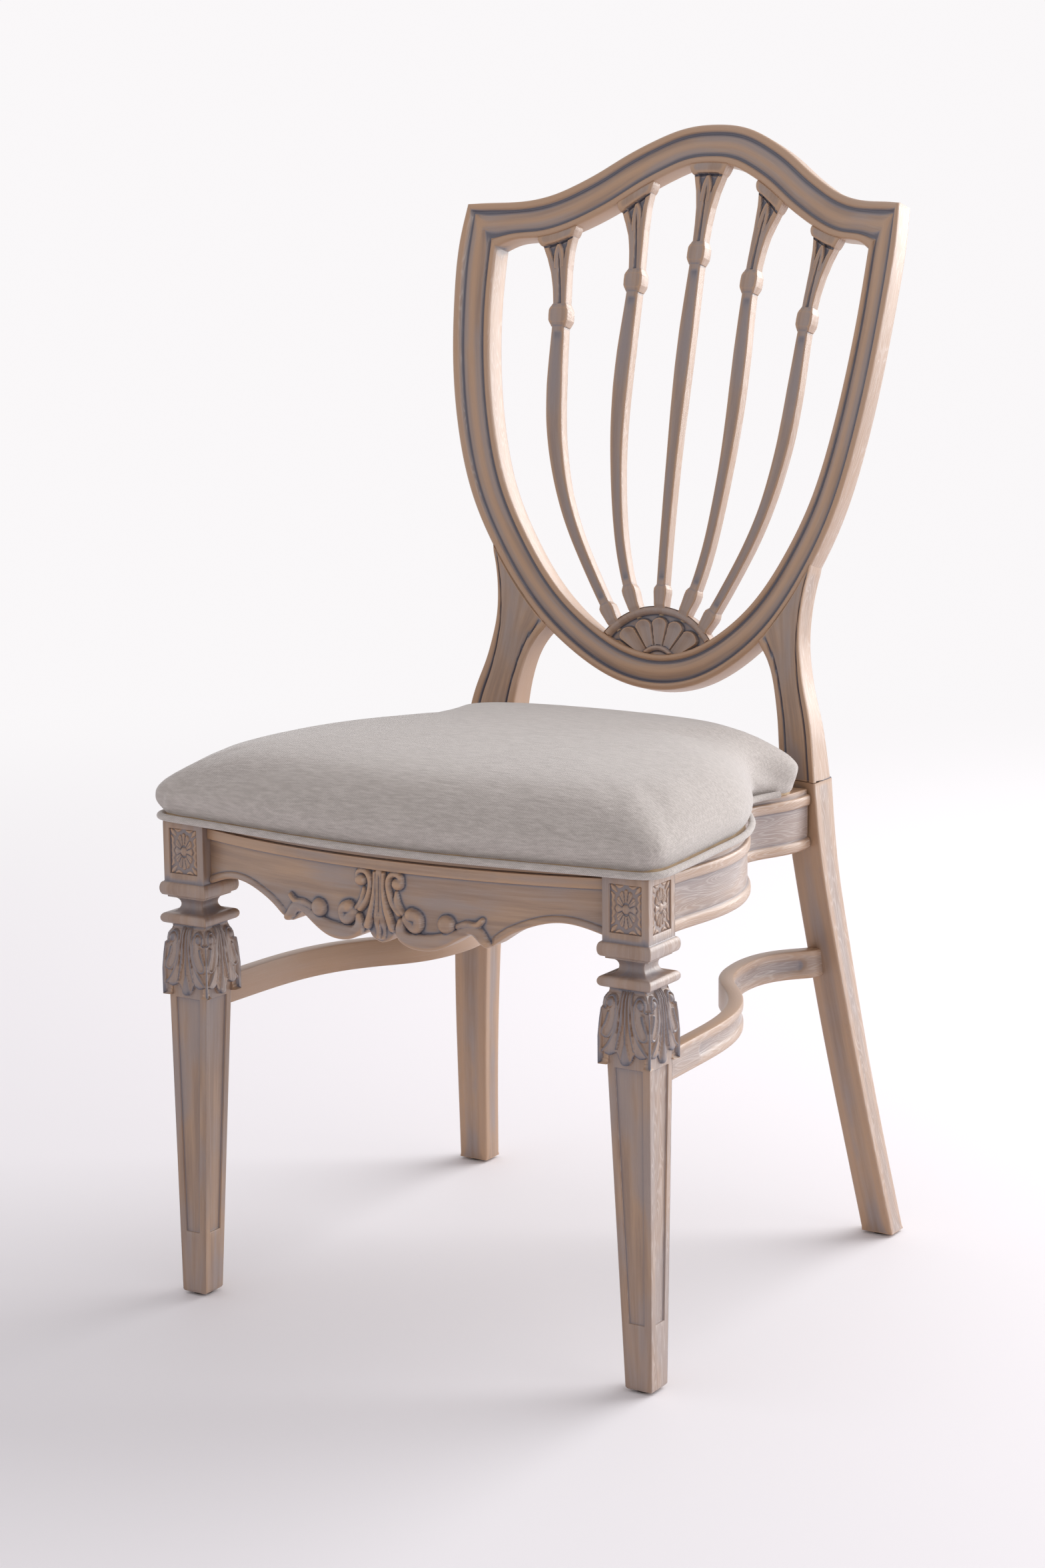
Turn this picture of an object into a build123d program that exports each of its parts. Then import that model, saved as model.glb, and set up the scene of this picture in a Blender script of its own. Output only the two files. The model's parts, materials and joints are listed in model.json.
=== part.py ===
import os
from math import cos, hypot, radians, sin, sqrt
from build123d import *

os.makedirs("parts", exist_ok=True)

# Clearances
glue_gap = 0.25
housing_gap = 0.15
dowel_fit = 0.1
skin_gap = 0.4

# Place of the chair: front face of the front posts, and the floor glides under the feet
front_y = -260.57
glide_height = 2.5
glide_radius = 8.0
glide_stem_radius = 2.0
glide_stem = 14.0

# Front legs
post_outer_x = 231.0
post_size = 41.0
post_top_z = 413.0
post_foot_z = 361.0
ring_proud = 3.2
upper_ring_z = 349.5
cove_top_z = 347.5
cove_foot_z = 334.5
cove_inset = 9.5
cove_lip = 1.6
lower_ring_z = 325.5
neck_inset = 3.5
neck_z = 323.5
leaf_proud = 2.4
leaf_foot_z = 264.0
shaft_inset_inner = 2.9
shaft_inset_outer = 0.5
shaft_inset_front = 2.2
shaft_inset_rear = 3.5
foot_inner_x = 205.6
foot_outer_x = 229.6
foot_front = 6.4
foot_rear = 31.0
panel_border = 6.5
panel_depth = 1.3
panel_foot_z = 57.0
panel_head_z = 262.0
square_border = 7.0
square_depth = 2.0
square_foot_z = 368.5
square_head_z = 406.5

# Seat frame
rail_top_z = 413.0
rail_foot_z = 361.0
band_head_z = 408.5
band_foot_z = 399.0
bead_head_z = 371.0
band_step = 2.2
strip_step = 3.4
rail_thick = 22.0
rail_housing = 4.0
rail_rear = 384.8
apron_bow = 29.6
apron_end_set = 5.6
apron_thick = 19.0
apron_field_step = 5.0
apron_band_step = 1.0
apron_bead_width = 6.0
apron_bead_step = 2.2
apron_housing = 5.0
rear_rail_front = 386.0
rear_rail_thick = 20.0
rear_rail_half = 156.0
rear_rail_foot_z = 365.0

# Side stretchers
stretcher_foot_z = 244.5
stretcher_head_z = 269.5
stretcher_thick = 13.0
stretcher_front = 33.5
stretcher_rear = 401.0
flute_foot_z = 252.5
flute_head_z = 261.5
flute_depth = 1.6

# Rear legs
joint_z = 418.0
rear_foot_outer_x = 229.4
rear_foot_width = 30.0
rear_foot_front = 439.5
rear_foot_depth = 23.5
rear_leg_head_depth = 35.0

# Back
back_lean = 14.2
back_y = 423.5
back_z = 560.0
back_radius = 500.0
back_bow = 12.0
back_bow_reach = 214.0
back_thick = 22.5
shield_half = 217.6
shield_corner_v = 345.5
shield_crest_v = 429.1
shield_foot_v = -79.5
frame_width = 31.5
outer_bead = 7.4
inner_bead = 6.7
groove_width = 1.8
groove_depth = 2.2
splat_front = 2.5
splat_thick = 12.0
splat_head_half = 16.5
splat_neck_half = 5.8
splat_collar_half = 8.7
splat_collar_height = 21.0
splat_shaft_half = 7.2
splat_foot_half = 4.5
splat_knop_half = 6.5
splat_knop_height = 13.0
fan_radius = 68.5
fan_centre_v = -73.5
fan_front = 6.0
fan_thick = 11.0
fan_rim = 6.0
fan_rim_front = 2.0
fan_hub_radius = 22.0
fan_hub_v = -57.0
fan_hub_front = 0.5
upright_groove_inset = 7.0

# Seat
board_foot_z = 413.2
board_thick = 12.0
cover_thick = 1.3
pad_height = 66.0
pad_centre_y = 185.0
welt_radius = 2.9
dust_thick = 0.8
dust_share = 0.77

# Dowels and fasteners
dowel_radius = 4.0
dowel_half = 14.0
peg_radius = 2.5
peg_half = 8.0
dowel_low_z = 377.0
dowel_high_z = 398.0
block_foot_z = 376.0
block_head_z = 409.0
bolt_radius = 3.0
bolt_bite = 22.0
bolt_z = 388.5
nut_across = 10.0
nut_height = 5.0
washer_radius = 8.0
washer_thick = 1.5
screw_radius = 2.0
screw_head_radius = 4.0
screw_head = 2.5
screw_bite = 9.0


def shifted(points, amount):
    """Points of an open curve moved square to it, to the right of the way along it."""
    moved = []
    last = len(points) - 1
    for i, (x, y) in enumerate(points):
        x0, y0 = points[max(i - 1, 0)]
        x1, y1 = points[min(i + 1, last)]
        run = hypot(x1 - x0, y1 - y0)
        moved.append((x + amount * (y1 - y0) / run, y - amount * (x1 - x0) / run))
    return moved


def shifted_loop(points, amount):
    """Points of a closed curve moved square to it, to the right of the way along it."""
    count = len(points)
    moved = []
    for i, (x, y) in enumerate(points):
        x0, y0 = points[i - 1]
        x1, y1 = points[(i + 1) % count]
        run = hypot(x1 - x0, y1 - y0)
        moved.append((x + amount * (y1 - y0) / run, y - amount * (x1 - x0) / run))
    return moved


def placed(points):
    """Plan points given from the front posts' face, moved to the chair's frame."""
    return [(x, y + front_y) for x, y in points]


def mirrored(points):
    return [(-x, y) for x, y in points]


# The curved, leaning face of the back: v runs up the lean, w points to the front
lean = radians(back_lean)
v_dir = Vector(0, sin(lean), cos(lean))
w_dir = Vector(0, -cos(lean), sin(lean))
x_unit = Vector(1, 0, 0)
back_origin = Vector(0, back_y + front_y, back_z)
back_plane = Plane(origin=back_origin, x_dir=x_unit, z_dir=w_dir)
bow_radius = (back_bow_reach ** 2 + back_bow ** 2) / (2 * back_bow)


def bow_w(v):
    return back_bow - bow_radius + sqrt(bow_radius ** 2 - (v - back_bow_reach) ** 2)


def face_w(x, v):
    return bow_w(v) + back_radius - sqrt(back_radius ** 2 - x * x)


def back_point(x, v, depth):
    return back_origin + x_unit * x + v_dir * v + w_dir * (face_w(x, v) - depth)


def back_turn(x, dx, dv):
    return x_unit * dx + v_dir * dv + w_dir * (dx * x / sqrt(back_radius ** 2 - x * x))


def face_y(x, z):
    """Where the front face of the back stands at height z."""
    v = (z - back_z) / cos(lean)
    for _ in range(8):
        v = (z - back_z - face_w(x, v) * sin(lean)) / cos(lean)
    return back_origin.Y + v * sin(lean) - face_w(x, v) * cos(lean)


slab_turn = radians(42.0)
joint_v = (joint_z - back_z) / cos(lean)
slab_spare = 44.0
slab_low = joint_v - slab_spare
slab_high = 450.0
axis_point = back_origin + w_dir * back_radius
slab_y = w_dir * cos(slab_turn) - x_unit * sin(slab_turn)
slab_plane = Plane(origin=axis_point - slab_y * back_radius, x_dir=v_dir, z_dir=v_dir.cross(slab_y))
back_axis = Axis(axis_point, v_dir)
slab_arc = 84.0


def slab_arc_points(depth):
    return [(v, bow_w(v) - depth) for v in (slab_low, back_bow_reach / 2, slab_high)]


def slab_profile(front, rear):
    face = slab_arc_points(front)
    hind = slab_arc_points(rear)
    ThreePointArc(*face)
    Line(face[2], hind[2])
    ThreePointArc(*hind)
    Line(hind[0], face[0])


# Outline of the shield, right half, as shares of its half width and of its heights
crest_shape = [(0.08, 0.988), (0.174, 0.93), (0.245, 0.85), (0.31, 0.76), (0.39, 0.63), (0.49, 0.44),
               (0.572, 0.3), (0.65, 0.185), (0.741, 0.095), (0.833, 0.047), (0.92, 0.018)]
side_shape = [(1.0046, 0.921), (0.9954, 0.791), (0.968, 0.649), (0.9153, 0.5), (0.8375, 0.37),
              (0.7231, 0.2565), (0.5675, 0.1478), (0.3844, 0.0674), (0.1922, 0.0165)]
crest_rise = shield_crest_v - shield_corner_v
side_drop = shield_corner_v - shield_foot_v
crest_half = [(shield_half * a, shield_corner_v + crest_rise * b) for a, b in crest_shape]
side_half = [(shield_half * a, shield_foot_v + side_drop * b) for a, b in side_shape]
shield_corner = (shield_half, shield_corner_v)
crest_curve = mirrored([shield_corner] + crest_half[::-1]) + [(0, shield_crest_v)]
crest_curve = crest_curve + crest_half + [shield_corner]
side_curve = [shield_corner] + side_half + [(0, shield_foot_v)] + mirrored(side_half[::-1])
side_curve = side_curve + mirrored([shield_corner])


def shield_edges(amount):
    """The shield's outline, moved inwards: its crest line, and its sides with the foot."""
    corner = (shield_half - 0.97 * amount, shield_corner_v - 1.08 * amount)
    left = (-corner[0], corner[1])
    crest = [p for p in shifted(crest_curve, amount) if abs(p[0]) < corner[0] - 10]
    sides = [p for p in shifted(side_curve, amount) if p[1] < corner[1] - 12]
    return [left] + crest + [corner], [corner] + sides + [left]


def draw_shield(amount):
    crest, sides = shield_edges(amount)
    Spline(*crest)
    Spline(*sides)


# Axes of the splats, from the fan up into the crest, with a spare length that the crest cuts off
outer_axis = [(42, -28.5), (60, 1), (75.5, 28), (90, 56), (101.5, 84), (110, 113), (116, 142), (119.5, 170),
              (122.3, 210), (124.5, 249.5), (126.5, 270), (130, 292), (137, 334), (144, 376)]
inner_axis = [(24, -12), (31, 4), (38.5, 26), (45, 52), (50, 81), (54, 112), (57, 146), (58.5, 180),
              (58.6, 240), (58.7, 285), (60, 305), (63, 330), (70, 378), (76, 419)]
centre_axis = [(0, -12), (0, 40), (0, 100), (0, 160), (0, 220), (0, 280), (0, 311), (0, 340), (0, 400),
               (0, 442)]
outer_collar = (124.5, 249.5)
inner_collar = (58.7, 285)
centre_collar = (0, 311)
shaft_shape = [(0.0, 0.0), (0.2, 0.1), (0.4, 0.35), (0.55, 0.72), (0.68, 0.97), (0.8, 0.95), (0.92, 0.62),
               (1.0, 0.42)]
head_shape = [(0.0, 0.0), (0.2, 0.04), (0.4, 0.13), (0.6, 0.32), (0.8, 0.62), (1.0, 1.0)]


def lengths(axis):
    runs = [0.0]
    for (x0, y0), (x1, y1) in zip(axis, axis[1:]):
        runs.append(runs[-1] + hypot(x1 - x0, y1 - y0))
    return runs


def beside(axis, at, half):
    """Two points at either side of the axis, where it has run this far."""
    runs = lengths(axis)
    i = 1
    while i < len(runs) - 1 and runs[i] < at:
        i += 1
    (x0, y0), (x1, y1) = axis[i - 1], axis[i]
    run = runs[i] - runs[i - 1]
    share = (at - runs[i - 1]) / run
    tx, ty = (x1 - x0) / run, (y1 - y0) / run
    x, y = x0 + (x1 - x0) * share, y0 + (y1 - y0) * share
    return (x - ty * half, y + tx * half), (x + ty * half, y - tx * half)


def draw_splat(axis, collar):
    """Foot knop, swelling shaft, six-sided collar and flared head, up both sides."""
    collar_at = lengths(axis)[axis.index(collar)]
    end = lengths(axis)[-2]
    knop = splat_knop_height
    foot_at = 2 * knop
    low, high = collar_at - splat_collar_height / 2, collar_at + splat_collar_height / 2
    swell = splat_shaft_half - splat_foot_half
    flare = splat_head_half - splat_neck_half
    sides = ([], [])
    tops = ([], [])
    for share, grow in shaft_shape:
        pair = beside(axis, foot_at + (low - foot_at) * share, splat_foot_half + swell * grow)
        sides[0].append(pair[0])
        sides[1].append(pair[1])
    for share, grow in head_shape:
        pair = beside(axis, high + (end - high) * share, splat_neck_half + flare * grow)
        tops[0].append(pair[0])
        tops[1].append(pair[1])
    start = beside(axis, 0, splat_foot_half)
    wide = beside(axis, foot_at - knop / 2, splat_knop_half)
    waist = beside(axis, foot_at - knop, splat_foot_half)
    hexes = beside(axis, collar_at, splat_collar_half)
    spare = beside(axis, lengths(axis)[-1], splat_head_half)
    for k in (0, 1):
        Polyline(start[k], waist[k], wide[k], sides[k][0])
        Spline(*sides[k])
        Polyline(sides[k][-1], hexes[k], tops[k][0])
        Spline(*tops[k])
        Line(tops[k][-1], spare[k])
    Line(start[0], start[1])
    Line(spare[0], spare[1])


# Plan curves, right side, from the front post to the rear leg
rail_curve = placed([(226, post_size - rail_housing), (226, 45), (227, 60), (229.5, 83), (232, 113),
                     (230.5, 142), (224.5, 169), (216, 191), (200, 219), (181, 245), (166, 268),
                     (159.5, 288), (160, 303), (164.5, 318), (171, 334), (175.5, 351), (176.5, 364),
                     (176.5, rail_rear)])
stretcher_curve = placed([(226, stretcher_front), (226, 46), (225.3, 66), (223.5, 112), (218.5, 158),
                          (206, 199), (196, 218), (182, 238), (166.5, 258), (156.5, 278), (151, 302),
                          (150, 331), (154.5, 350), (163, 365), (173, 376.5), (179.5, 386),
                          (181, 393.5), (181, stretcher_rear)])
seat_half = [(60, -25), (120, -18.5), (172, -12), (206, -8), (225, -5.5), (235, -1), (239, 9), (239, 24),
             (236.5, 60), (232, 107), (229.5, 137), (225, 165), (217, 190), (203, 219), (185, 246),
             (171, 270), (163.5, 290), (163.5, 307), (169, 326), (175, 342), (175.5, 353), (170, 361),
             (156, 365.5), (134, 369), (110, 374), (60, 381)]
seat_loop = [(0, -27)] + seat_half + [(0, 383)] + mirrored(seat_half[::-1])
seat_loop = placed(seat_loop)[::-1]
pad_shape = [(0.003, 0.982), (0.09, 0.982), (0.17, 0.998), (0.3, 1.012), (0.42, 1.008), (0.53, 0.99),
             (0.63, 0.963), (0.72, 0.929), (0.8, 0.882), (0.87, 0.813), (0.92, 0.725), (0.955, 0.615),
             (0.98, 0.48), (1.0, 0.25)]
pad_centre = pad_centre_y + front_y


def seat_ring(share, inset):
    ring = [(x * share, pad_centre + (y - pad_centre) * share) for x, y in seat_loop]
    return shifted_loop(ring, inset)


def seat_wire(share, inset):
    Spline(*seat_ring(share, inset), periodic=True)


post_inner_x = post_outer_x - post_size
post_rear = front_y + post_size
apron_half = post_inner_x + apron_housing
apron_radius = (post_inner_x ** 2 + apron_bow ** 2) / (2 * apron_bow)
apron_nose = front_y + apron_end_set - apron_bow


def apron_y(x, step):
    return apron_nose + step + apron_radius - sqrt(apron_radius ** 2 - x * x)


def draw_apron(step, rear, half):
    """Plan of the bowed front rail between two steps behind its nose."""
    face = [(-half, apron_y(half, step)), (0, apron_y(0, step)), (half, apron_y(half, step))]
    hind = [(-half, apron_y(half, rear)), (0, apron_y(0, rear)), (half, apron_y(half, rear))]
    ThreePointArc(*face)
    Line(face[2], hind[2])
    ThreePointArc(*hind)
    Line(hind[0], face[0])


def draw_rail(curve, step, thick):
    """Plan of a curved rail between two steps inside its outer curve."""
    face = shifted(curve, -step)
    hind = shifted(curve, -thick)
    Spline(*face)
    Line(face[-1], hind[-1])
    Spline(*hind)
    Line(hind[0], face[0])


# Lower edge of the apron: leaf tip, drop with its cusps, and the arch up to the post
apron_leaf = [(-12, 349.5), (-9, 344.5), (0, 340.5), (9, 344.5), (12, 349.5)]
apron_drop = [(12, 349.5), (17, 346), (27, 341), (40, 339), (52, 340.5), (62, 345), (70, 350), (80, 355.5)]
apron_arch = [(80, 355.5), (84, 352), (88, 348), (95, 346.5), (102, 350), (112, 357), (125, 363.5),
              (140, 368.5), (154, 370.3), (166, 369), (180, 365), (apron_half, rail_foot_z)]

front_plane = Plane(origin=(0, front_y, 0), x_dir=(1, 0, 0), z_dir=(0, -1, 0))
side_plane = Plane(origin=(0, front_y, 0), x_dir=(0, 1, 0), z_dir=(1, 0, 0))
deep = 90.0


def draw_leg_edge(face, way, head_inset, foot):
    """One edge of the front leg seen square on: post, two rings with a cove, leaf block and shaft."""
    def at(out, z):
        return (face + way * out, z)
    ring_mid = (post_foot_z + upper_ring_z) / 2
    low_mid = (cove_foot_z + lower_ring_z) / 2
    cove_mid = (cove_top_z + cove_foot_z) / 2
    Line(at(0, post_top_z), at(0, post_foot_z))
    ThreePointArc(at(0, post_foot_z), at(ring_proud, ring_mid), at(0, upper_ring_z))
    Polyline(at(0, upper_ring_z), at(-cove_lip, upper_ring_z), at(-cove_lip, cove_top_z))
    ThreePointArc(at(-cove_lip, cove_top_z), at(-cove_inset, cove_mid), at(-cove_lip, cove_foot_z))
    ThreePointArc(at(-cove_lip, cove_foot_z), at(ring_proud, low_mid), at(-cove_lip, lower_ring_z))
    Polyline(at(-cove_lip, lower_ring_z), at(-neck_inset, lower_ring_z), at(-neck_inset, neck_z))
    Spline(at(-neck_inset, neck_z), at(0.3, neck_z - 7), at(leaf_proud - 0.6, neck_z - 22),
           at(leaf_proud, leaf_foot_z + 24), at(leaf_proud, leaf_foot_z))
    Polyline(at(leaf_proud, leaf_foot_z), at(-head_inset, leaf_foot_z), (foot, glide_height))


def both(places):
    """These places and their mirror images."""
    return list(places) + [Plane(Vector(-p.origin.X, p.origin.Y, p.origin.Z),
                                 z_dir=Vector(-p.z_dir.X, p.z_dir.Y, p.z_dir.Z)) for p in places]


# Dowel places, right side
along_x = (1, 0, 0)
along_y = (0, 1, 0)
apron_rear_step = apron_field_step + apron_thick
rail_front_x = 226 - rail_thick / 2
rail_rear_x = 176.5 - rail_thick / 2
stretcher_front_x = 226 - stretcher_thick / 2
stretcher_rear_x = 181 - stretcher_thick / 2
apron_dowel_y = apron_y(post_inner_x, (apron_field_step + apron_rear_step) / 2)
rear_rail_mid = front_y + rear_rail_front + rear_rail_thick / 2
stretcher_mid_z = (stretcher_foot_z + stretcher_head_z) / 2
dowel_zs = (dowel_low_z, dowel_high_z)
rail_front_pins = [Plane((rail_front_x, post_rear - rail_housing, z), z_dir=along_y) for z in dowel_zs]
rail_rear_pins = [Plane((rail_rear_x, front_y + rail_rear, z), z_dir=along_y) for z in dowel_zs]
apron_pins = [Plane((apron_half, apron_dowel_y, z), z_dir=along_x) for z in dowel_zs]
rear_rail_pins = [Plane((rear_rail_half, rear_rail_mid, (dowel_low_z + dowel_high_z) / 2), z_dir=along_x)]
stretcher_pins = [Plane((stretcher_front_x, front_y + stretcher_front, stretcher_mid_z), z_dir=along_y),
                  Plane((stretcher_rear_x, front_y + stretcher_rear, stretcher_mid_z), z_dir=along_y)]
upright_pins = [Plane((x, face_y(x, joint_z) + 20, joint_z)) for x in (162.0, 172.5)]
shield_pins = [Plane(back_point(x, v, back_thick / 2), z_dir=back_turn(x, dx, dv))
               for x, v, dx, dv in ((136.1, -1.5, 0.79, -0.61), (117.7, -22.5, 0.7, -0.71))]
peg_depth = splat_front + splat_thick / 2
outer_pegs = [Plane(back_point(135.9, 327.5, peg_depth), z_dir=back_turn(135.9, 0.16, 0.98)),
              Plane(back_point(45.7, -22.5, peg_depth + 1), z_dir=back_turn(45.7, 0.53, 0.85))]
inner_pegs = [Plane(back_point(68.7, 370, peg_depth), z_dir=back_turn(68.7, 0.144, 0.99)),
              Plane(back_point(25.2, -9.8, peg_depth + 1), z_dir=back_turn(25.2, 0.4, 0.92))]
centre_pegs = [Plane(back_point(0, shield_crest_v - frame_width, peg_depth), z_dir=v_dir),
               Plane(back_point(0, fan_centre_v + fan_radius, peg_depth + 1), z_dir=v_dir)]
splat_pegs = both(outer_pegs) + both(inner_pegs) + centre_pegs
fan_seat_pegs = both(outer_pegs[1:]) + both(inner_pegs[1:]) + centre_pegs[1:]
fan_pegs = [Plane(back_point(x, -40.5, fan_front + fan_thick / 2), z_dir=v_dir) for x in (-30, 30)]

# Corner blocks: bolt line through the front block into the post's inner corner
bolt_turn = Vector(0.7071, -0.7071, 0)
bolt_corner = Vector(post_inner_x, post_rear, bolt_z)
bolt_reach = 27.0
bolt_seat = bolt_corner - bolt_turn * bolt_reach
front_screw = (158.0, front_y + 35.0)
rear_screw = (122.0, front_y + 364.0)
rear_block_screw_x = 112.0
rear_block_seat = front_y + 366.0
block_rear = front_y + rear_rail_front - glue_gap
block_diag = 52.0
block_span = 39.0

# Feet
front_foot = ((foot_inner_x + foot_outer_x) / 2, front_y + (foot_front + foot_rear) / 2)
rear_foot = (rear_foot_outer_x - rear_foot_width / 2, front_y + rear_foot_front + rear_foot_depth / 2)
rear_leg_outer_x = 180.0
rear_leg_inner_x = 140.8
head_front = face_y(rear_leg_outer_x, joint_z)
head_slope = (face_y(rear_leg_inner_x, joint_z) - head_front) / (rear_leg_outer_x - rear_leg_inner_x)
# Rear leg sections: height, outer side, width, front, depth and turn of the front face
leg_sections = [(glide_height, rear_foot_outer_x, rear_foot_width, rear_foot_front, rear_foot_depth, 0.0),
                (100, 217.7, 30.5, 418, 24.5, 0.08), (190, 207.3, 32, 400, 26, 0.15),
                (280, 196.8, 33, 384.5, 29, 0.23), (350, 188.8, 35, 374.5, 32, 0.32),
                (joint_z, rear_leg_outer_x, rear_leg_outer_x - rear_leg_inner_x, head_front - front_y,
                 rear_leg_head_depth, head_slope)]
# Sides of the upright: the outer one's start behind the shield, then shares of the way down to the joint
upright_outer_head = [(163, 40), (158, 22)]
upright_outer_fall = [(154.3, 0.0137), (154, 0.1845), (157, 0.3212), (162, 0.4646), (168.5, 0.6013),
                      (173.5, 0.738), (177, 0.8883), (180, 1.0386), (183, 1.23)]
upright_inner_fall = [(96, 0.1367), (110.5, 0.2357), (119.5, 0.3212), (126, 0.4237), (130.5, 0.5398),
                      (134, 0.6628), (136.5, 0.7995), (139, 0.9361), (142, 1.0728), (146, 1.23)]
upright_outer = upright_outer_head + [(x, joint_v * share) for x, share in upright_outer_fall]
upright_inner = [(x, joint_v * share) for x, share in upright_inner_fall]

# Curved slabs that the parts of the back are cut from
with BuildPart() as back_slab:
    with BuildSketch(slab_plane):
        with BuildLine():
            slab_profile(0, back_thick)
        make_face()
    revolve(axis=back_axis, revolution_arc=slab_arc)

with BuildPart() as groove_slab:
    with BuildSketch(slab_plane):
        with BuildLine():
            slab_profile(-6, groove_depth)
        make_face()
    revolve(axis=back_axis, revolution_arc=slab_arc)

with BuildPart() as splat_slab:
    with BuildSketch(slab_plane):
        with BuildLine():
            slab_profile(splat_front, splat_front + splat_thick)
        make_face()
    revolve(axis=back_axis, revolution_arc=slab_arc)

with BuildPart() as fan_slab:
    with BuildSketch(slab_plane):
        with BuildLine():
            slab_profile(fan_hub_front, fan_front + fan_thick)
        make_face()
    revolve(axis=back_axis, revolution_arc=slab_arc)

with BuildPart() as rim_slab:
    with BuildSketch(slab_plane):
        with BuildLine():
            slab_profile(-6, fan_rim_front)
        make_face()
    revolve(axis=back_axis, revolution_arc=slab_arc)

with BuildPart() as dish_slab:
    with BuildSketch(slab_plane):
        with BuildLine():
            slab_profile(-6, fan_front)
        make_face()
    revolve(axis=back_axis, revolution_arc=slab_arc)

slab_mid = (slab_low + 70) / 2
upright_rear = [(v, bow_w(v) - back_thick - more) for v, more in
                ((70, 0), (0, 0), (0.273 * joint_v, 0.4), (0.547 * joint_v, 2.6), (0.82 * joint_v, 7),
                 (1.06 * joint_v, 12), (slab_low, 17.5))]
with BuildPart() as upright_slab:
    with BuildSketch(slab_plane):
        with BuildLine():
            ThreePointArc((slab_low, bow_w(slab_low)), (slab_mid, bow_w(slab_mid)), (70, bow_w(70)))
            Line((70, bow_w(70)), upright_rear[0])
            Spline(*upright_rear)
            Line(upright_rear[-1], (slab_low, bow_w(slab_low)))
        make_face()
    revolve(axis=back_axis, revolution_arc=slab_arc)

with BuildPart() as shield_block:
    with BuildSketch(back_plane):
        with BuildLine():
            draw_shield(-glue_gap)
        make_face()
    extrude(amount=2 * deep, both=True)

with BuildPart() as opening_block:
    with BuildSketch(back_plane):
        with BuildLine():
            draw_shield(frame_width + glue_gap)
        make_face()
    extrude(amount=2 * deep, both=True)

with BuildPart() as fan_block:
    with BuildSketch(back_plane):
        with Locations((0, fan_centre_v)):
            Circle(fan_radius + glue_gap)
    extrude(amount=2 * deep, both=True)

with BuildPart() as outer_groove:
    with BuildSketch(back_plane):
        with BuildLine():
            draw_shield(outer_bead - groove_width / 2)
        make_face()
        with BuildLine():
            draw_shield(outer_bead + groove_width / 2)
        make_face(mode=Mode.SUBTRACT)
    extrude(amount=2 * deep, both=True)
    add(groove_slab.part, mode=Mode.INTERSECT)

with BuildPart() as inner_groove:
    with BuildSketch(back_plane):
        with BuildLine():
            draw_shield(frame_width - inner_bead - groove_width / 2)
        make_face()
        with BuildLine():
            draw_shield(frame_width - inner_bead + groove_width / 2)
        make_face(mode=Mode.SUBTRACT)
    extrude(amount=2 * deep, both=True)
    add(groove_slab.part, mode=Mode.INTERSECT)

dowel_bore = dowel_radius + dowel_fit
dowel_run = 2 * dowel_half + 4 * dowel_fit
peg_bore = peg_radius + dowel_fit
peg_run = 2 * peg_half + 4 * dowel_fit

with BuildPart() as shield_frame:
    with BuildSketch(back_plane):
        with BuildLine():
            draw_shield(0)
        make_face()
        with BuildLine():
            draw_shield(frame_width)
        make_face(mode=Mode.SUBTRACT)
    extrude(amount=2 * deep, both=True)
    add(back_slab.part, mode=Mode.INTERSECT)
    add(outer_groove.part, mode=Mode.SUBTRACT)
    add(inner_groove.part, mode=Mode.SUBTRACT)
    with Locations(*both(shield_pins)):
        Cylinder(dowel_bore, dowel_run, mode=Mode.SUBTRACT)
    with Locations(*splat_pegs, *fan_pegs):
        Cylinder(peg_bore, peg_run, mode=Mode.SUBTRACT)
shield_frame.part.label = "shield_frame"
export_step(shield_frame.part, "parts/shield_frame.step")

with BuildPart() as splat_outer_right:
    with BuildSketch(back_plane):
        with BuildLine():
            draw_splat(outer_axis, outer_collar)
        make_face()
    extrude(amount=2 * deep, both=True)
    add(splat_slab.part, mode=Mode.INTERSECT)
    add(opening_block.part, mode=Mode.INTERSECT)
    add(fan_block.part, mode=Mode.SUBTRACT)
    with Locations(*outer_pegs):
        Cylinder(peg_bore, peg_run, mode=Mode.SUBTRACT)
splat_outer_right.part.label = "splat_outer_right"
export_step(splat_outer_right.part, "parts/splat_outer_right.step")

with BuildPart() as splat_outer_left:
    mirror(splat_outer_right.part, about=Plane.YZ)
splat_outer_left.part.label = "splat_outer_left"
export_step(splat_outer_left.part, "parts/splat_outer_left.step")

with BuildPart() as splat_inner_right:
    with BuildSketch(back_plane):
        with BuildLine():
            draw_splat(inner_axis, inner_collar)
        make_face()
    extrude(amount=2 * deep, both=True)
    add(splat_slab.part, mode=Mode.INTERSECT)
    add(opening_block.part, mode=Mode.INTERSECT)
    add(fan_block.part, mode=Mode.SUBTRACT)
    with Locations(*inner_pegs):
        Cylinder(peg_bore, peg_run, mode=Mode.SUBTRACT)
splat_inner_right.part.label = "splat_inner_right"
export_step(splat_inner_right.part, "parts/splat_inner_right.step")

with BuildPart() as splat_inner_left:
    mirror(splat_inner_right.part, about=Plane.YZ)
splat_inner_left.part.label = "splat_inner_left"
export_step(splat_inner_left.part, "parts/splat_inner_left.step")

with BuildPart() as splat_centre:
    with BuildSketch(back_plane):
        with BuildLine():
            draw_splat(centre_axis, centre_collar)
        make_face()
    extrude(amount=2 * deep, both=True)
    add(splat_slab.part, mode=Mode.INTERSECT)
    add(opening_block.part, mode=Mode.INTERSECT)
    add(fan_block.part, mode=Mode.SUBTRACT)
    with Locations(*centre_pegs):
        Cylinder(peg_bore, peg_run, mode=Mode.SUBTRACT)
splat_centre.part.label = "splat_centre"
export_step(splat_centre.part, "parts/splat_centre.step")

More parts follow.
